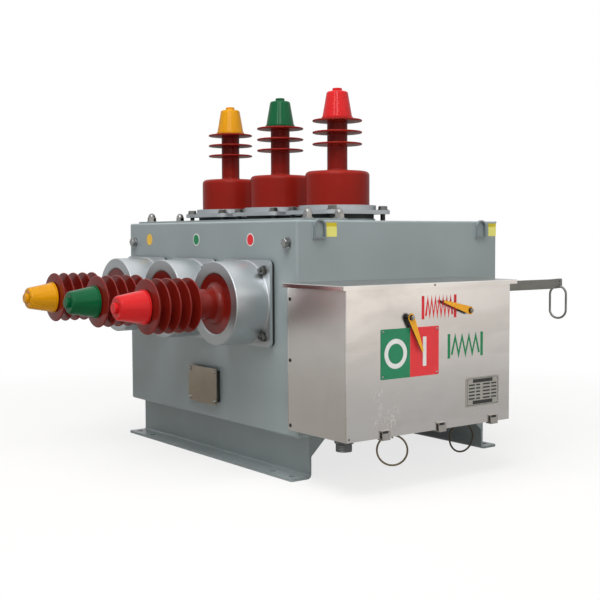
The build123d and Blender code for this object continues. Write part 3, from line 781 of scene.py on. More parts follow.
@dataclass(frozen=True)
class Fastener:
    """A fastener that stands on a face.

    Its washer, head, dome and shank are each left out where their size is zero.
    """

    name: str
    sides: int = 6
    washer_radius: float = 0.0
    washer_height: float = 0.0
    head_radius: float = 0.0
    head_height: float = 0.0
    dome_radius: float = 0.0
    dome_height: float = 0.0
    shank_radius: float = 0.0
    shank_rise: float = 0.0
    shank_drop: float = 0.0
    chamfer_share: float = 0.16
    chamfer_radius_share: float = 0.86
    washer_sides: int = 24
    shank_sides: int = 16
    dome_segments: int = 20
    dome_rings: int = 10
    seed: int = 7

    def _sizes(self) -> dict[str, float]:
        """The tree's named inputs with their values."""
        labels = ("washer_radius", "washer_height", "head_radius", "head_height", "dome_radius",
                  "dome_height", "shank_radius", "shank_rise", "shank_drop")
        return {label.replace("_", " ").title(): getattr(self, label) for label in labels}

    def _tree(self) -> bpy.types.NodeTree:
        """Builds the Geometry Nodes tree that stands the fastener on every point.

        Returns:
            The tree, with the fastener's sizes and its material as named inputs.
        """
        tree = bpy.data.node_groups.new(self.name, "GeometryNodeTree")
        tree.interface.new_socket(name="Geometry", in_out="INPUT", socket_type="NodeSocketGeometry")
        for label in self._sizes():
            tree.interface.new_socket(name=label, in_out="INPUT", socket_type="NodeSocketFloat")
        tree.interface.new_socket(name="Material", in_out="INPUT", socket_type="NodeSocketMaterial")
        tree.interface.new_socket(name="Geometry", in_out="OUTPUT", socket_type="NodeSocketGeometry")
        graph = Graph(tree)
        given = graph.add("NodeGroupInput").outputs
        result = graph.add("NodeGroupOutput").inputs["Geometry"]
        together = graph.add("GeometryNodeJoinGeometry")
        for shape in self._shapes(graph, given):
            graph.join(shape, together.inputs[0])
        stand = graph.add("GeometryNodeInstanceOnPoints")
        graph.join(given["Geometry"], stand.inputs["Points"])
        graph.join(together.outputs[0], stand.inputs["Instance"])
        graph.join(self._turn(graph), stand.inputs["Rotation"])
        real = graph.add("GeometryNodeRealizeInstances")
        graph.join(stand.outputs[0], real.inputs[0])
        dressed = graph.add("GeometryNodeSetMaterial")
        graph.join(real.outputs[0], dressed.inputs["Geometry"])
        graph.join(given["Material"], dressed.inputs["Material"])
        graph.join(dressed.outputs[0], result)
        return tree

    def _turn(self, graph: Graph) -> bpy.types.NodeSocket:
        """The rotation that points a fastener out of its face, with a chance turn about its own axis."""
        facing = graph.add("GeometryNodeInputNamedAttribute", data_type="FLOAT_VECTOR")
        facing.inputs["Name"].default_value = "facing"
        aligned = graph.add("FunctionNodeAlignRotationToVector", axis="Z")
        graph.join(facing.outputs["Attribute"], aligned.inputs["Vector"])
        chance = graph.add("FunctionNodeRandomValue", data_type="FLOAT")
        spans = [socket for socket in chance.inputs if socket.type == "VALUE"]
        spans[0].default_value = 0.0
        spans[1].default_value = 2 * math.pi / self.sides
        chance.inputs["Seed"].default_value = self.seed
        drawn = [socket for socket in chance.outputs if socket.type == "VALUE"][0]
        euler = graph.add("ShaderNodeCombineXYZ")
        graph.join(drawn, euler.inputs["Z"])
        spin = graph.add("FunctionNodeEulerToRotation")
        graph.join(euler.outputs[0], spin.inputs[0])
        turned = graph.add("FunctionNodeRotateRotation", rotation_space="LOCAL")
        graph.join(aligned.outputs[0], turned.inputs[0])
        graph.join(spin.outputs[0], turned.inputs[1])
        return turned.outputs[0]

    @staticmethod
    def _raised(graph: Graph, shape: bpy.types.NodeSocket, height: bpy.types.NodeSocket,
                flat: bpy.types.NodeSocket | None = None) -> bpy.types.NodeSocket:
        """A shape lifted along Z, and drawn in along Z where a share is given."""
        moved = graph.add("GeometryNodeTransform")
        graph.join(shape, moved.inputs["Geometry"])
        place = graph.add("ShaderNodeCombineXYZ")
        graph.join(height, place.inputs["Z"])
        graph.join(place.outputs[0], moved.inputs["Translation"])
        if flat is not None:
            scale = graph.add("ShaderNodeCombineXYZ")
            scale.inputs["X"].default_value = 1.0
            scale.inputs["Y"].default_value = 1.0
            graph.join(flat, scale.inputs["Z"])
            graph.join(scale.outputs[0], moved.inputs["Scale"])
        return moved.outputs[0]

    @staticmethod
    def _cylinder(graph: Graph, sides: int, radius: bpy.types.NodeSocket,
                  depth: bpy.types.NodeSocket) -> bpy.types.NodeSocket:
        """An upright cylinder about the origin."""
        node = graph.add("GeometryNodeMeshCylinder")
        node.inputs["Vertices"].default_value = sides
        graph.join(radius, node.inputs["Radius"])
        graph.join(depth, node.inputs["Depth"])
        return node.outputs["Mesh"]

    def _shapes(self, graph: Graph, given: bpy.types.bpy_prop_collection) -> list[bpy.types.NodeSocket]:
        """The fastener's shapes, standing on the XY plane.

        Args:
            graph: The tree's graph.
            given: The tree's inputs.

        Returns:
            Each shape's output.
        """
        washer, head = given["Washer Height"], given["Head Height"]
        shapes = []
        if self.washer_radius:
            disc = self._cylinder(graph, self.washer_sides, given["Washer Radius"], washer)
            shapes.append(self._raised(graph, disc, graph.math("MULTIPLY", washer, 0.5)))
        if self.head_height:
            prism_height = graph.math("MULTIPLY", head, 1 - self.chamfer_share)
            prism = self._cylinder(graph, self.sides, given["Head Radius"], prism_height)
            middle = graph.math("ADD", washer, graph.math("MULTIPLY", prism_height, 0.5))
            shapes.append(self._raised(graph, prism, middle))
            edge = graph.add("GeometryNodeMeshCone")
            edge.inputs["Vertices"].default_value = self.sides
            graph.join(given["Head Radius"], edge.inputs["Radius Bottom"])
            top = graph.math("MULTIPLY", given["Head Radius"], self.chamfer_radius_share)
            graph.join(top, edge.inputs["Radius Top"])
            graph.join(graph.math("MULTIPLY", head, self.chamfer_share), edge.inputs["Depth"])
            shapes.append(self._raised(graph, edge.outputs["Mesh"], graph.math("ADD", washer, prism_height)))
        if self.dome_radius:
            ball = graph.add("GeometryNodeMeshUVSphere")
            ball.inputs["Segments"].default_value = self.dome_segments
            ball.inputs["Rings"].default_value = self.dome_rings
            graph.join(given["Dome Radius"], ball.inputs["Radius"])
            flat = graph.math("DIVIDE", given["Dome Height"], given["Dome Radius"])
            shapes.append(self._raised(graph, ball.outputs["Mesh"], graph.math("ADD", washer, head), flat))
        if self.shank_radius:
            top = graph.math("ADD", graph.math("ADD", washer, head), given["Shank Rise"])
            rod = self._cylinder(graph, self.shank_sides, given["Shank Radius"],
                                 graph.math("ADD", top, given["Shank Drop"]))
            middle = graph.math("MULTIPLY", graph.math("SUBTRACT", top, given["Shank Drop"]), 0.5)
            shapes.append(self._raised(graph, rod, middle))
        return shapes

    def stand(self, places: Sequence[Vector], facing: Sequence[Vector],
              material: bpy.types.Material) -> bpy.types.Mesh:
        """One mesh with the fastener at every place.

        Args:
            places: Where each one stands.
            facing: The way that each one points.
            material: The material that the tree sets.

        Returns:
            The joined mesh.
        """
        points = bpy.data.meshes.new(f"{self.name}_points")
        points.from_pydata([tuple(place) for place in places], [], [])
        way = points.attributes.new("facing", "FLOAT_VECTOR", "POINT")
        for index, vector in enumerate(facing):
            way.data[index].vector = vector
        holder = bpy.data.objects.new(f"{self.name}_holder", points)
        bpy.context.scene.collection.objects.link(holder)
        modifier = holder.modifiers.new("stand", "NODES")
        tree = self._tree()
        modifier.node_group = tree
        values = {**self._sizes(), "Material": material}
        for item in tree.interface.items_tree:
            if item.in_out == "INPUT" and item.name in values:
                modifier[item.identifier] = values[item.name]
        graph = bpy.context.evaluated_depsgraph_get()
        mesh = bpy.data.meshes.new_from_object(holder.evaluated_get(graph))
        holder.modifiers.clear()
        bpy.data.objects.remove(holder)
        return mesh


FLANGE_BOLT = Fastener("flange_bolt", washer_radius=11 * MM, washer_height=2 * MM, head_radius=9.3 * MM,
                       head_height=6.6 * MM)
FLANGE_SHANK = Fastener("flange_shank", shank_radius=5 * MM, shank_rise=1 * MM, shank_drop=22 * MM)
FLANGE_STUD = Fastener("flange_stud", washer_radius=9.2 * MM, washer_height=1.8 * MM, head_radius=8 * MM,
                       head_height=6.5 * MM, shank_radius=4 * MM, shank_rise=5 * MM)
ACORN_NUT = Fastener("acorn_nut", washer_radius=11 * MM, washer_height=2 * MM, head_radius=9.8 * MM,
                     head_height=9 * MM, dome_radius=8.2 * MM, dome_height=9 * MM)
FACE_BOLT = Fastener("face_bolt", washer_radius=10.5 * MM, washer_height=2.2 * MM, head_radius=9.6 * MM,
                     head_height=9 * MM)
COVER_BOLT = Fastener("cover_bolt", washer_radius=8 * MM, washer_height=1.6 * MM, head_radius=7.2 * MM,
                      head_height=5.3 * MM)
PAN_SCREW = Fastener("pan_screw", dome_radius=3.6 * MM, dome_height=1.8 * MM)
RIVET = Fastener("rivet", dome_radius=2.1 * MM, dome_height=1.0 * MM)
PLATE_SCREW = Fastener("plate_screw", washer_radius=4.6 * MM, washer_height=0.8 * MM, dome_radius=3.8 * MM,
                       dome_height=2.2 * MM)
PIN_NUT = Fastener("pin_nut", head_radius=4.2 * MM, head_height=2.6 * MM, shank_radius=2 * MM,
                   shank_rise=1.4 * MM)
WELD_RIPPLE = Fastener("weld_ripple", dome_radius=2.4 * MM, dome_height=1.6 * MM)


@dataclass
class Tank:
    """The painted tank with its covers, feet, lugs, bolts, phase dots and stickers."""

    shop: Workshop
    nut_left_inset: float = 31 * MM
    nut_right_inset: float = 17 * MM
    nut_end_inset: float = 12 * MM
    face_bolt_inset: float = 26.5 * MM
    face_bolt_drop: float = 42 * MM
    rear_bolt_inset: float = 14 * MM
    rear_bolt_rows: int = 5
    rear_bolt_columns: int = 6
    dot_radius: float = 12.5 * MM
    dot_rim: float = 1.8 * MM
    dot_drop: float = 36.2 * MM
    print_depth: float = 0.3 * MM
    sticker_low_drop: float = 31 * MM
    sticker_high_drop: float = 4.5 * MM
    sticker_widths: tuple[float, float] = (25 * MM, 23 * MM)
    sticker_gaps: tuple[float, float] = (4 * MM, 11.5 * MM)
    sticker_corner: float = 1.0 * MM
    sticker_band_share: float = 0.28
    weld_pitch: float = 2.2 * MM
    weld_share: float = 0.62
    low: Vector = field(init=False)
    high: Vector = field(init=False)
    top: float = field(init=False)

    def build(self) -> None:
        """Paints the solids and adds the pieces."""
        self.shop.paint(TANK_PAINT, "tank_body", "tank_rear_cover", "tank_top_cover", "left_foot",
                        "right_foot")
        # The lugs take the darker copy of the tank paint: painted shade.
        self.shop.paint(LUG_PAINT_SHADED, "left_lifting_lug", "right_lifting_lug")
        self.low, self.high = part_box("tank_body")
        self.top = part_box("tank_top_cover")[0].z
        self.acorn_nuts()
        self.face_bolts()
        self.rear_bolts()
        self.phase_dots()
        self.stickers()
        self.lug_welds()

    def acorn_nuts(self) -> None:
        """Domed nuts at the corners of the hand-hole cover."""
        low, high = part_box("tank_top_cover")
        places = [Vector((x, y, high.z)) for x in (low.x + self.nut_left_inset, high.x - self.nut_right_inset)
                  for y in (low.y + self.nut_end_inset, high.y - self.nut_end_inset)]
        self.shop.fasten("cover_nuts", ACORN_NUT, places, UP, BRIGHT_STEEL)

    def face_bolts(self) -> None:
        """Earthing bolts near the upper corners of the left face."""
        places = [Vector((self.low.x, y, self.top - self.face_bolt_drop))
                  for y in (self.low.y + self.face_bolt_inset, self.high.y - self.face_bolt_inset)]
        self.shop.fasten("face_bolts", FACE_BOLT, places, LEFT, BRIGHT_STEEL)

    def rear_bolts(self) -> None:
        """Bolts round the edge of the rear cover."""
        low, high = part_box("tank_rear_cover")
        inset = self.rear_bolt_inset
        columns = evenly(low.x + inset, high.x - inset, self.rear_bolt_columns)
        rows = evenly(low.z + inset, high.z - inset, self.rear_bolt_rows)
        places = [Vector((x, high.y, z)) for x in columns for z in (rows[0], rows[-1])]
        places += [Vector((x, high.y, z)) for z in rows[1:-1] for x in (columns[0], columns[-1])]
        self.shop.fasten("rear_cover_bolts", COVER_BOLT, places, BACK, BRIGHT_STEEL)

    def phase_dots(self) -> None:
        """A plain coloured dot with a pale rim over each side bushing."""
        height = self.top - self.dot_drop
        for phase, finish in zip(PHASES, (YELLOW_INK, GREEN_INK, RED_INK)):
            low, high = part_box(f"side_cap_{phase}")
            middle = ((low.y + high.y) / 2, height)
            rimmed = finish is not YELLOW_INK
            dot = Cutout(left_face(self.low.x), self.print_depth)
            dot.sheet(circle(middle, self.dot_radius - (self.dot_rim if rimmed else 0.0)))
            slot = f"{finish.name.split('_')[0]}_cap"
            self.shop.piece(f"phase_dot_{phase}", dot.finish(), finish, ROOT, slot)
            if not rimmed:
                continue
            rim = Cutout(left_face(self.low.x), self.print_depth)
            rim.band(circle(middle, self.dot_radius), circle(middle, self.dot_radius - self.dot_rim))
            self.shop.piece(f"phase_dot_rim_{phase}", rim.finish(), WHITE_INK, ROOT, "sign_plate")

    def stickers(self) -> None:
        """Plain two-tone yellow stickers beside the lifting lugs."""
        bottom, top = self.top - self.sticker_low_drop, self.top - self.sticker_high_drop
        split = top - (top - bottom) * self.sticker_band_share
        panel = Cutout(front_face(self.low.y), self.print_depth)
        band = Cutout(front_face(self.low.y), self.print_depth)
        for side, gap, width in zip(("left", "right"), self.sticker_gaps, self.sticker_widths):
            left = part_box(f"{side}_lifting_lug")[1].x + gap
            right = left + width
            panel.sheet(rounded((left, bottom), (right, split), self.sticker_corner))
            band.sheet(rounded((left, split), (right, top), self.sticker_corner))
        self.shop.piece("sticker_fields", panel.finish(), STICKER_FIELD, ROOT, "pointer_paint")
        self.shop.piece("sticker_bands", band.finish(), STICKER_BAND, ROOT, "pointer_paint")

    def lug_welds(self) -> None:
        """Weld ripples down both sides of each lifting lug."""
        places = []
        for side in ("left", "right"):
            low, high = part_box(f"{side}_lifting_lug")
            count = int((high.z - low.z) * self.weld_share / self.weld_pitch)
            for x in (low.x, high.x):
                places += [Vector((x, high.y, low.z + self.weld_pitch * step)) for step in range(count)]
        self.shop.fasten("lug_welds", WELD_RIPPLE, places, FRONT, TANK_PAINT, "tank_paint")


@dataclass
class SideBushings:
    """The transformer housings, red bushings and caps of the left face."""

    shop: Workshop
    stud_share: float = 0.768
    flange_thickness: float = 5.5 * MM

    def build(self) -> None:
        """Paints the solids and adds the studs."""
        self.shop.paint(GASKET_RUBBER, "ct_gaskets")
        for phase, cap in zip(PHASES, CAPS):
            # The housings' faces that look left are darker: painted shade.
            self.shop.paint(CAST_ALUMINIUM_SHADED_FACES, f"ct_housing_{phase}")
            # The side bushings take the darker copy of the epoxy: painted shade.
            self.shop.paint(SIDE_EPOXY_SHADED, f"side_bushing_{phase}")
            self.shop.paint(cap, f"side_cap_{phase}")
        self.studs()

    def studs(self) -> None:
        """A stud with its nut and washer at each flange corner."""
        places = []
        for phase in PHASES:
            low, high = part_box(f"ct_housing_{phase}")
            middle = (low + high) / 2
            reach = (high.z - low.z) / 2 * self.stud_share
            x = high.x - self.flange_thickness
            places += [Vector((x, middle.y + across * reach, middle.z + up * reach))
                       for across in (-1, 1) for up in (-1, 1)]
        self.shop.fasten("housing_studs", FLANGE_STUD, places, LEFT, STUD_STEEL)


@dataclass
class TopBushings:
    """The flanges, red bushings and caps of the tank top."""

    shop: Workshop
    bolt_share: float = 0.8
    plate_thickness: float = 8 * MM

    def build(self) -> None:
        """Paints the solids and adds the bolts."""
        self.shop.paint(GASKET_RUBBER, "top_gaskets")
        for phase, cap in zip(PHASES, CAPS):
            self.shop.paint(FLANGE_ALUMINIUM, f"top_flange_{phase}")
            self.shop.paint(RED_EPOXY, f"top_bushing_{phase}")
            self.shop.paint(cap, f"top_cap_{phase}")
        self.bolts()

    def bolts(self) -> None:
        """A bolt with its washer at each corner of the flange plates."""
        places = []
        for phase in PHASES:
            low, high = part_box(f"top_flange_{phase}")
            middle = (low + high) / 2
            reach = (high.x - low.x) / 2 * self.bolt_share
            height = low.z + self.plate_thickness
            places += [Vector((middle.x + right * reach, middle.y + back * reach, height))
                       for right in (-1, 1) for back in (-1, 1)]
        self.shop.fasten("flange_bolts", FLANGE_BOLT, places, UP, STUD_STEEL)
        self.shop.fasten("flange_bolt_shanks", FLANGE_SHANK, places, UP, DARK_STEEL, "dark_steel")


@dataclass
class ReliefPlate:
    """The relief plate under the side bushings."""

    shop: Workshop
    screw_inset: float = 7 * MM

    def build(self) -> None:
        """Paints the solids and adds the corner screws."""
        self.shop.paint(GASKET_RUBBER, "relief_pad")
        self.shop.paint(PATINA_STEEL, "relief_plate")
        low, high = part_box("relief_plate")
        inset = self.screw_inset
        places = [Vector((low.x, y, z)) for y in (low.y + inset, high.y - inset)
                  for z in (low.z + inset, high.z - inset)]
        self.shop.fasten("relief_screws", PLATE_SCREW, places, LEFT, BRIGHT_STEEL)


@dataclass
class MechanismBox:
    """The stainless box with its lid, clips, plates, marks and screws."""

    shop: Workshop
    sign_split_share: float = 0.493
    print_depth: float = 0.15 * MM
    rivet_inset: float = 4.5 * MM
    side_screw_inset: float = 5 * MM
    side_screw_heights: tuple[float, ...] = (339 * MM, 228 * MM, 109 * MM)
    corner_screw_inset: float = 6 * MM
    rim_screw_inset: float = 199 * MM
    charged_corners: tuple[Point, Point] = ((174 * MM, 203 * MM), (261 * MM, 245 * MM))
    slack_corners: tuple[Point, Point] = ((239 * MM, 128 * MM), (331 * MM, 173 * MM))
    clip_count: int = 3
    clip_width: float = 18 * MM
    # Sizes of the black patches on the clips, which are painted shade.
    shade_height: float = 4.5 * MM
    shade_share: float = 0.7
    shade_depth: float = 0.6 * MM
    scuff_corners: tuple[Point, Point] = ((54 * MM, 0.0), (126 * MM, 90 * MM))
    mark_width: float = 8.5 * MM
    mark_radius_share: float = 0.3
    spring_coils: tuple[int, int] = (7, 4)
    spring_width: float = 6.5 * MM
    spring_gap_share: float = 1.6
    spring_rise_share: float = 0.14
    coil_width_share: float = 0.75
    rule_width: float = 2.8 * MM
    frame_inset_share: float = 0.03
    frame_width: float = 0.6 * MM
    frame_radius: float = 1.5 * MM
    bar_heights: tuple[float, float] = (0.08, 0.8)
    bar_inset_share: float = 0.2
    bar_height_share: float = 0.12
    rule_rows: int = 5
    rule_start_share: float = 0.27
    rule_step_share: float = 0.115
    rule_columns: tuple[Point, ...] = ((0.08, 0.26), (0.3, 0.42), (0.5, 0.72), (0.76, 0.92))
    cover_low: Vector = field(init=False)
    sign_split: float = field(init=False)

    def build(self) -> None:
        """Paints the solids and adds the marks, rivets and screws."""
        self.shop.paint(STAINLESS, "box_back", "box_floor")
        self.shop.paint(SIDE_STAINLESS, "box_left_side", "box_right_side")
        self.cover_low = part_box("front_cover")[0]
        low, high = ((self.cover_low.x + right, self.cover_low.y, self.cover_low.z + up)
                     for right, up in self.scuff_corners)
        self.shop.paint(replace(STAINLESS, name="cover_stainless", scuff=(low, high)), "front_cover")
        # The lid's darker top is painted shade, its lighter front rim a painted highlight.
        self.shop.paint(LID_STAINLESS_SHADED_TOP, "box_lid")
        self.shop.paint(CLIP_STEEL, "cover_clips")
        self.shop.paint(ZINC_THREAD, "conduit_stub")
        low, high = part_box("position_sign")
        self.sign_split = low.x + (high.x - low.x) * self.sign_split_share
        sign = Finish("sign_enamel", srgb(24, 128, 88), srgb(20, 118, 80), (0.3, 0.42), 30.0, 900.0, 0.00002,
                      pattern=Pattern.HALVES, second=srgb(222, 48, 54), split=self.sign_split)
        self.shop.paint(sign, "position_sign")
        self.shop.paint(RATING_PLATE, "rating_plate")
        self.position_marks()
        self.spring_marks()
        self.plate_rules()
        self.rivets()
        self.screws()
        # Black patches on the clips: painted shade.
        self.clip_pads()

    def position_marks(self) -> None:
        """White open and closed marks, a ring and a bar, on the two halves of the sign."""
        low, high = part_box("position_sign")
        height = (low.z + high.z) / 2
        marks = Cutout(front_face(low.y), self.print_depth)
        ring = ((low.x + self.sign_split) / 2, height)
        radius = (high.z - low.z) * self.mark_radius_share
        marks.band(circle(ring, radius), circle(ring, radius - self.mark_width))
        bar = (self.sign_split + high.x) / 2
        half = self.mark_width / 2
        marks.sheet(rectangle((bar - half, height - radius), (bar + half, height + radius)))
        self.shop.piece("position_marks", marks.finish(), WHITE_INK, ROOT, "sign_plate")

    def spring_marks(self) -> None:
        """A tight red coil for a charged spring and an open green one for a slack spring."""
        tight, slack = self.spring_coils
        for name, finish, corners, coils in (("charged_mark", RED_INK, self.charged_corners, tight),
                                             ("slack_mark", GREEN_INK, self.slack_corners, slack)):
            low, high = ((self.cover_low.x + right, self.cover_low.z + up) for right, up in corners)
            self.spring_mark(name, finish, low, high, coils)

    def spring_mark(self, name: str, finish: Finish, low: Point, high: Point, coils: int) -> None:
        """A zigzag between two end bars.

        Args:
            name: The mark's name.
            finish: Its colour.
            low: Its lower left corner.
            high: Its upper right corner.
            coils: How many turns the zigzag has.
        """
        mark = Cutout(front_face(self.cover_low.y), self.print_depth)
        width = self.spring_width
        for x in (low[0] + width / 2, high[0] - width / 2):
            mark.sheet(stroke([(x, low[1]), (x, high[1])], width))
        gap = width * self.spring_gap_share
        start, end = low[0] + gap, high[0] - gap
        rise = (high[1] - low[1]) * self.spring_rise_share
        steps = 2 * coils
        line = [(start + (end - start) * step / steps, (high[1] - rise) if step % 2 else (low[1] + rise))
                for step in range(steps + 1)]
        mark.sheet(stroke(line, width * self.coil_width_share))
        self.shop.piece(name, mark.finish(), finish, ROOT, "sign_plate")

    def plate_rules(self) -> None:
        """Ruled lines and dark bars on the blank rating plate."""
        low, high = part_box("rating_plate")
        wide, tall = high.x - low.x, high.z - low.z
        rules = Cutout(front_face(low.y), self.print_depth)
        edge = self.frame_inset_share * wide
        inner = edge + self.frame_width
        rules.band(rounded((low.x + edge, low.z + edge), (high.x - edge, high.z - edge), self.frame_radius),
                   rounded((low.x + inner, low.z + inner), (high.x - inner, high.z - inner),
                           self.frame_radius - self.frame_width))
        inset = wide * self.bar_inset_share
        for share in self.bar_heights:
            z = low.z + tall * share
            rules.sheet(rectangle((low.x + inset, z), (high.x - inset, z + tall * self.bar_height_share)))
        for row in range(self.rule_rows):
            z = low.z + tall * (self.rule_start_share + self.rule_step_share * row)
            for start, end in self.rule_columns:
                rules.sheet(stroke([(low.x + wide * start, z), (low.x + wide * end, z)], self.rule_width))
        self.shop.piece("plate_rules", rules.finish(), BLACK_INK, ROOT, "rating_plate")

    def rivets(self) -> None:
        """Rivets at the corners of the sign and of the rating plate."""
        places = []
        for node in ("position_sign", "rating_plate"):
            low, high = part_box(node)
            inset = self.rivet_inset
            places += [Vector((x, low.y, z)) for x in (low.x + inset, high.x - inset)
                       for z in (low.z + inset, high.z - inset)]
        self.shop.fasten("plate_rivets", RIVET, places, FRONT, BRIGHT_STEEL)

    def screws(self) -> None:
        """Screws down the rear edges of the side sheets, at the cover's corner and on the lid's rim."""
        places, facing = [], []
        for node, side in (("box_left_side", -1), ("box_right_side", 1)):
            low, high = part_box(node)
            x = low.x if side < 0 else high.x
            for height in self.side_screw_heights:
                places.append(Vector((x, high.y - self.side_screw_inset, height)))
                facing.append(Vector((side, 0, 0)))
        self.shop.fasten("box_screws", PAN_SCREW, places, facing, DARK_STEEL, "dark_steel")
        inset = self.corner_screw_inset
        low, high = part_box("box_lid")
        places = [Vector((self.cover_low.x + inset, self.cover_low.y, self.cover_low.z + inset)),
                  Vector((self.cover_low.x + self.rim_screw_inset, low.y, (low.z + high.z) / 2))]
        self.shop.fasten("cover_screws", RIVET, places, FRONT, STUD_STEEL)

    def clip_pads(self) -> None:
        """A black patch in the gasket rubber finish on the upper part of each clip: painted shade where the
        clip's top and the gap behind it fall dark.
        """
        low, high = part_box("cover_clips")
        shade_patches = Cutout(front_face(low.y), self.shade_depth)
        for left in evenly(low.x, high.x - self.clip_width, self.clip_count):
            right = left + self.clip_width * self.shade_share
            shade_patches.sheet(rectangle((left, high.z - self.shade_height), (right, high.z)))
        self.shop.piece("clip_pads", shade_patches.finish(), GASKET_RUBBER, ROOT, "gasket_rubber")


@dataclass
class Operators:
    """The pointers, charging lever and rings."""

    shop: Workshop
    ring_radii: tuple[float, float] = (4.0 * MM, 5.2 * MM)
    ring_depth: float = 0.2 * MM

    def build(self) -> None:
        """Paints the solids and adds the pointer nuts and rings."""
        # The pointers' near-black sides and back are painted shadow.
        self.shop.paint(POINTER_PAINT_SHADOW_SIDES, "position_pointer", "charge_pointer")
        self.shop.paint(DARK_STEEL, "pointer_pins", "charging_shaft")
        self.shop.paint(LEVER_STEEL, "charging_lever")
        self.shop.paint(WIRE_STEEL, "lever_ring")
        self.shop.paint(ZINC_STEEL, "pull_eyes")
        self.shop.paint(RING_STEEL, "left_pull_ring")
        # The right ring takes the darker copy of the ring steel.
        self.shop.paint(DARKER_RING_STEEL, "right_pull_ring")
        self.pin_nuts()
        self.hub_rings()

    @staticmethod
    def _pivots() -> dict[str, Point]:
        """Each pointer's name with the X and Z of its pin."""
        return {joint["child"]: (joint["pos_m"][0], joint["pos_m"][2]) for joint in frame["joints"]
                if joint["child"].endswith("_pointer")}

    def pin_nuts(self) -> None:
        """A small nut on the end of each pointer pin."""
        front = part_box("pointer_pins")[0].y
        places = [Vector((x, front, z)) for x, z in self._pivots().values()]
        self.shop.fasten("pin_nuts", PIN_NUT, places, FRONT, BRIGHT_STEEL)

    def hub_rings(self) -> None:
        """A dark ring round the pin on each pointer's hub."""
        inner, outer = self.ring_radii
        for pointer, pin in self._pivots().items():
            ring = Cutout(front_face(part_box(pointer)[0].y), self.ring_depth)
            ring.band(circle(pin, outer), circle(pin, inner))
            self.shop.piece(f"{pointer}_ring", ring.finish(), BLACK_INK, pointer, "dark_steel")


@dataclass(frozen=True)
class Softbox:
    """A soft area lamp, and whether shiny pieces show it."""

    name: str
    place: Way
    size: tuple[float, float]
    power: float
    mirrored: bool = True

    def stand(self, aim: Vector) -> None:
        """Sets the lamp up so that it looks at a point."""
        lamp = bpy.data.lights.new(self.name, "AREA")
        lamp.shape = "RECTANGLE"
        lamp.size, lamp.size_y = self.size
        lamp.energy = self.power
        thing = bpy.data.objects.new(self.name, lamp)
        thing.location = self.place
        thing.rotation_euler = (aim - Vector(self.place)).to_track_quat("-Z", "Y").to_euler()
        thing.visible_glossy = self.mirrored
        bpy.context.scene.collection.objects.link(thing)


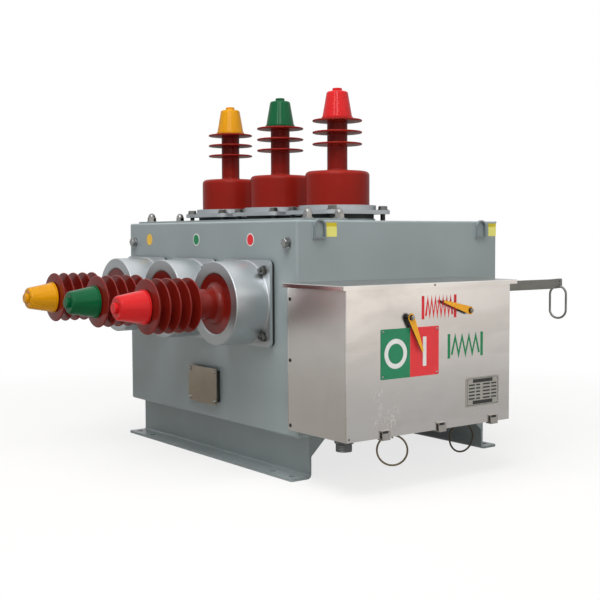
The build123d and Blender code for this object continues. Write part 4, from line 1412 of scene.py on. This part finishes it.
@dataclass
class Studio:
    """The floor, the light and the camera."""

    camera_place: Vector = field(default_factory=lambda: Vector((-1.41592, -1.87336, 0.45309)))
    yaw: float = 36.78
    pitch: float = -3.46
    roll: float = -0.21
    focal_length: float = 63.716
    sensor_width: float = 36.0
    view_end: float = 100.0
    floor_radius: float = 30.0
    floor_colour: Colour = (0.74, 0.725, 0.69)
    floor_roughness: float = 0.9
    shadow_start: float = 0.7
    shadow_end: float = 1.5
    shadow_share: float = 0.24
    front_sheen: tuple[float, float] = (1.9, 3.6)
    front_near: Colour = (0.42, 0.415, 0.41)
    front_far: Colour = (0.70, 0.68, 0.66)
    front_warm: Colour = (1.0, 0.93, 0.86)
    warm_span: tuple[float, float] = (-0.1, -0.85)
    left_sheen: tuple[float, float] = (1.4, 1.9)
    left_near: Colour = (0.24, 0.21, 0.165)
    left_far: Colour = (0.64, 0.64, 0.63)
    left_span: tuple[float, float] = (-0.3, -0.8)
    rear_span: tuple[float, float] = (0.5, 1.5)
    rear_sheen: Colour = (0.26, 0.25, 0.24)
    ambient: float = 0.28
    ambient_colour: Colour = (0.96, 0.98, 1.0)
    wall: Colour = (0.5, 0.5, 0.5)
    front_wall: Colour = (1.0, 0.93, 0.87)
    front_wall_span: tuple[float, float] = (0.0, -0.7)
    sky_span: tuple[float, float] = (0.0, 0.8)
    aim: Way = (0.0, -0.1, 0.3)
    lamps: tuple[Softbox, ...] = (
        Softbox("overhead", (-0.8, -0.5, 2.35), (1.7, 1.7), 57.0, mirrored=False),
        Softbox("left_strip", (-1.5, -2.0, 2.1), (0.6, 1.8), 15.0),
        Softbox("high_strip", (-1.8, -1.0, 2.1), (0.3, 1.6), 8.0),
        Softbox("front_fill", (0.6, -3.0, 1.7), (1.4, 1.4), 17.0, mirrored=False),
        Softbox("rear_fill", (1.9, 2.2, 1.6), (1.8, 1.4), 22.0, mirrored=False))

    def build(self) -> None:
        """Builds the stage."""
        bpy.context.scene.view_settings.view_transform = "Standard"
        self.camera()
        self.world()
        self.floor()
        for lamp in self.lamps:
            lamp.stand(Vector(self.aim))

    def camera(self) -> None:
        """The camera at the photograph's place."""
        yaw, pitch, roll = (math.radians(turn) for turn in (self.yaw, self.pitch, self.roll))
        ahead = Vector((math.cos(pitch) * math.sin(yaw), math.cos(pitch) * math.cos(yaw), math.sin(pitch)))
        level = Vector((math.cos(yaw), -math.sin(yaw), 0.0))
        upright = level.cross(ahead)
        right = level * math.cos(roll) + upright * math.sin(roll)
        up = upright * math.cos(roll) - level * math.sin(roll)
        lens = bpy.data.cameras.new("camera")
        lens.lens = self.focal_length
        lens.sensor_width = self.sensor_width
        lens.clip_end = self.view_end
        camera = bpy.data.objects.new("camera", lens)
        turn = Matrix((right, up, -ahead)).transposed().to_4x4()
        camera.matrix_world = Matrix.Translation(self.camera_place) @ turn
        bpy.context.scene.collection.objects.link(camera)
        bpy.context.scene.camera = camera

    @staticmethod
    def _rays(graph: Graph) -> tuple[bpy.types.NodeSocket, bpy.types.NodeSocket]:
        """Masks of the rays that see the stage.

        Args:
            graph: The graph of the stage's material or of the world.

        Returns:
            One for rays from the camera, a reflection or a clear piece, and one for a reflection alone.
        """
        path = graph.add("ShaderNodeLightPath").outputs
        either = graph.math("MAXIMUM", path["Is Camera Ray"], path["Is Transmission Ray"])
        return graph.math("MAXIMUM", either, path["Is Glossy Ray"]), path["Is Glossy Ray"]

    def world(self) -> None:
        """Soft light from all round, with a white background whose walls reflect a little darker."""
        world = bpy.data.worlds.new("studio")
        bpy.context.scene.world = world
        world.use_nodes = True
        graph = Graph(world.node_tree)
        world.node_tree.nodes.clear()
        seen, glossy = self._rays(graph)
        light = graph.add("ShaderNodeBackground")
        light.inputs["Color"].default_value = (*self.ambient_colour, 1.0)
        light.inputs["Strength"].default_value = self.ambient
        white = graph.add("ShaderNodeBackground")
        way = graph.parts(graph.add("ShaderNodeTexCoord").outputs["Generated"])
        ahead = graph.spread(way["Y"], 0.0, 1.0, *self.front_wall_span)
        wall = graph.blend(ahead, (*self.wall, 1.0), (*self.front_wall, 1.0))
        sky = graph.blend(graph.spread(way["Z"], 0.0, 1.0, *self.sky_span), wall, WHITE)
        graph.join(graph.blend(glossy, WHITE, sky), white.inputs["Color"])
        mix = graph.add("ShaderNodeMixShader")
        graph.join(seen, mix.inputs[0])
        graph.join(light.outputs[0], mix.inputs[1])
        graph.join(white.outputs[0], mix.inputs[2])
        graph.join(mix.outputs[0], graph.add("ShaderNodeOutputWorld").inputs["Surface"])

    def floor(self) -> None:
        """A pale floor that keeps a soft shadow near the object and is white further out."""
        mesh = bpy.data.meshes.new("floor")
        size = self.floor_radius
        mesh.from_pydata([(-size, -size, 0), (size, -size, 0), (size, size, 0), (-size, size, 0)], [],
                         [(0, 1, 2, 3)])
        material = bpy.data.materials.new("floor")
        material.use_nodes = True
        graph = Graph(material.node_tree)
        seen, glossy = self._rays(graph)
        shader = material.node_tree.nodes["Principled BSDF"]
        shader.inputs["Base Color"].default_value = (*self.floor_colour, 1.0)
        shader.inputs["Roughness"].default_value = self.floor_roughness
        shader.inputs["Specular IOR Level"].default_value = 0.0
        white = graph.add("ShaderNodeEmission")
        place = graph.add("ShaderNodeTexCoord").outputs["Object"]
        length = graph.add("ShaderNodeVectorMath", operation="LENGTH")
        graph.join(place, length.inputs[0])
        distance = length.outputs["Value"]
        sheen = self._floor_sheen(graph, place, distance)
        graph.join(graph.blend(glossy, WHITE, sheen), white.inputs["Color"])
        fade = graph.spread(distance, 1 - self.shadow_share, 1.0, self.shadow_start, self.shadow_end)
        mix = graph.add("ShaderNodeMixShader")
        graph.join(graph.math("MAXIMUM", graph.math("MULTIPLY", fade, seen), glossy), mix.inputs[0])
        graph.join(shader.outputs[0], mix.inputs[1])
        graph.join(white.outputs[0], mix.inputs[2])
        graph.join(mix.outputs[0], material.node_tree.nodes["Material Output"].inputs["Surface"])
        mesh.materials.append(material)
        floor = bpy.data.objects.new("floor", mesh)
        bpy.context.scene.collection.objects.link(floor)

    def _floor_sheen(self, graph: Graph, place: bpy.types.NodeSocket,
                     distance: bpy.types.NodeSocket) -> bpy.types.NodeSocket:
        """What shiny pieces see of the floor: darker close by, on the left and behind.

        Args:
            graph: The floor's graph.
            place: The floor's own coordinates.
            distance: The distance from the origin.

        Returns:
            The colour's output.
        """
        parts = graph.parts(place)
        warm = graph.spread(graph.math("ADD", parts["X"], parts["Y"]), 0.0, 1.0, *self.warm_span)
        far = graph.blend(warm, (*self.front_far, 1.0), (*self.front_warm, 1.0))
        front = graph.blend(graph.spread(distance, 0.0, 1.0, *self.front_sheen), (*self.front_near, 1.0), far)
        behind = graph.spread(parts["Y"], 0.0, 1.0, *self.rear_span)
        front = graph.blend(behind, front, (*self.rear_sheen, 1.0))
        left = graph.blend(graph.spread(distance, 0.0, 1.0, *self.left_sheen), (*self.left_near, 1.0),
                           (*self.left_far, 1.0))
        return graph.blend(graph.spread(parts["X"], 0.0, 1.0, *self.left_span), front, left)


def main() -> None:
    """Builds the sub-assemblies in order, then the stage."""
    logging.basicConfig(level=logging.INFO, format="%(name)s: %(message)s")
    shop = Workshop()
    for assembly in (Tank(shop), SideBushings(shop), TopBushings(shop), ReliefPlate(shop),
                     MechanismBox(shop), Operators(shop), Studio()):
        assembly.build()
        log.info("%s is built", type(assembly).__name__)
    bpy.context.view_layer.update()


if __name__ == "__main__":
    main()
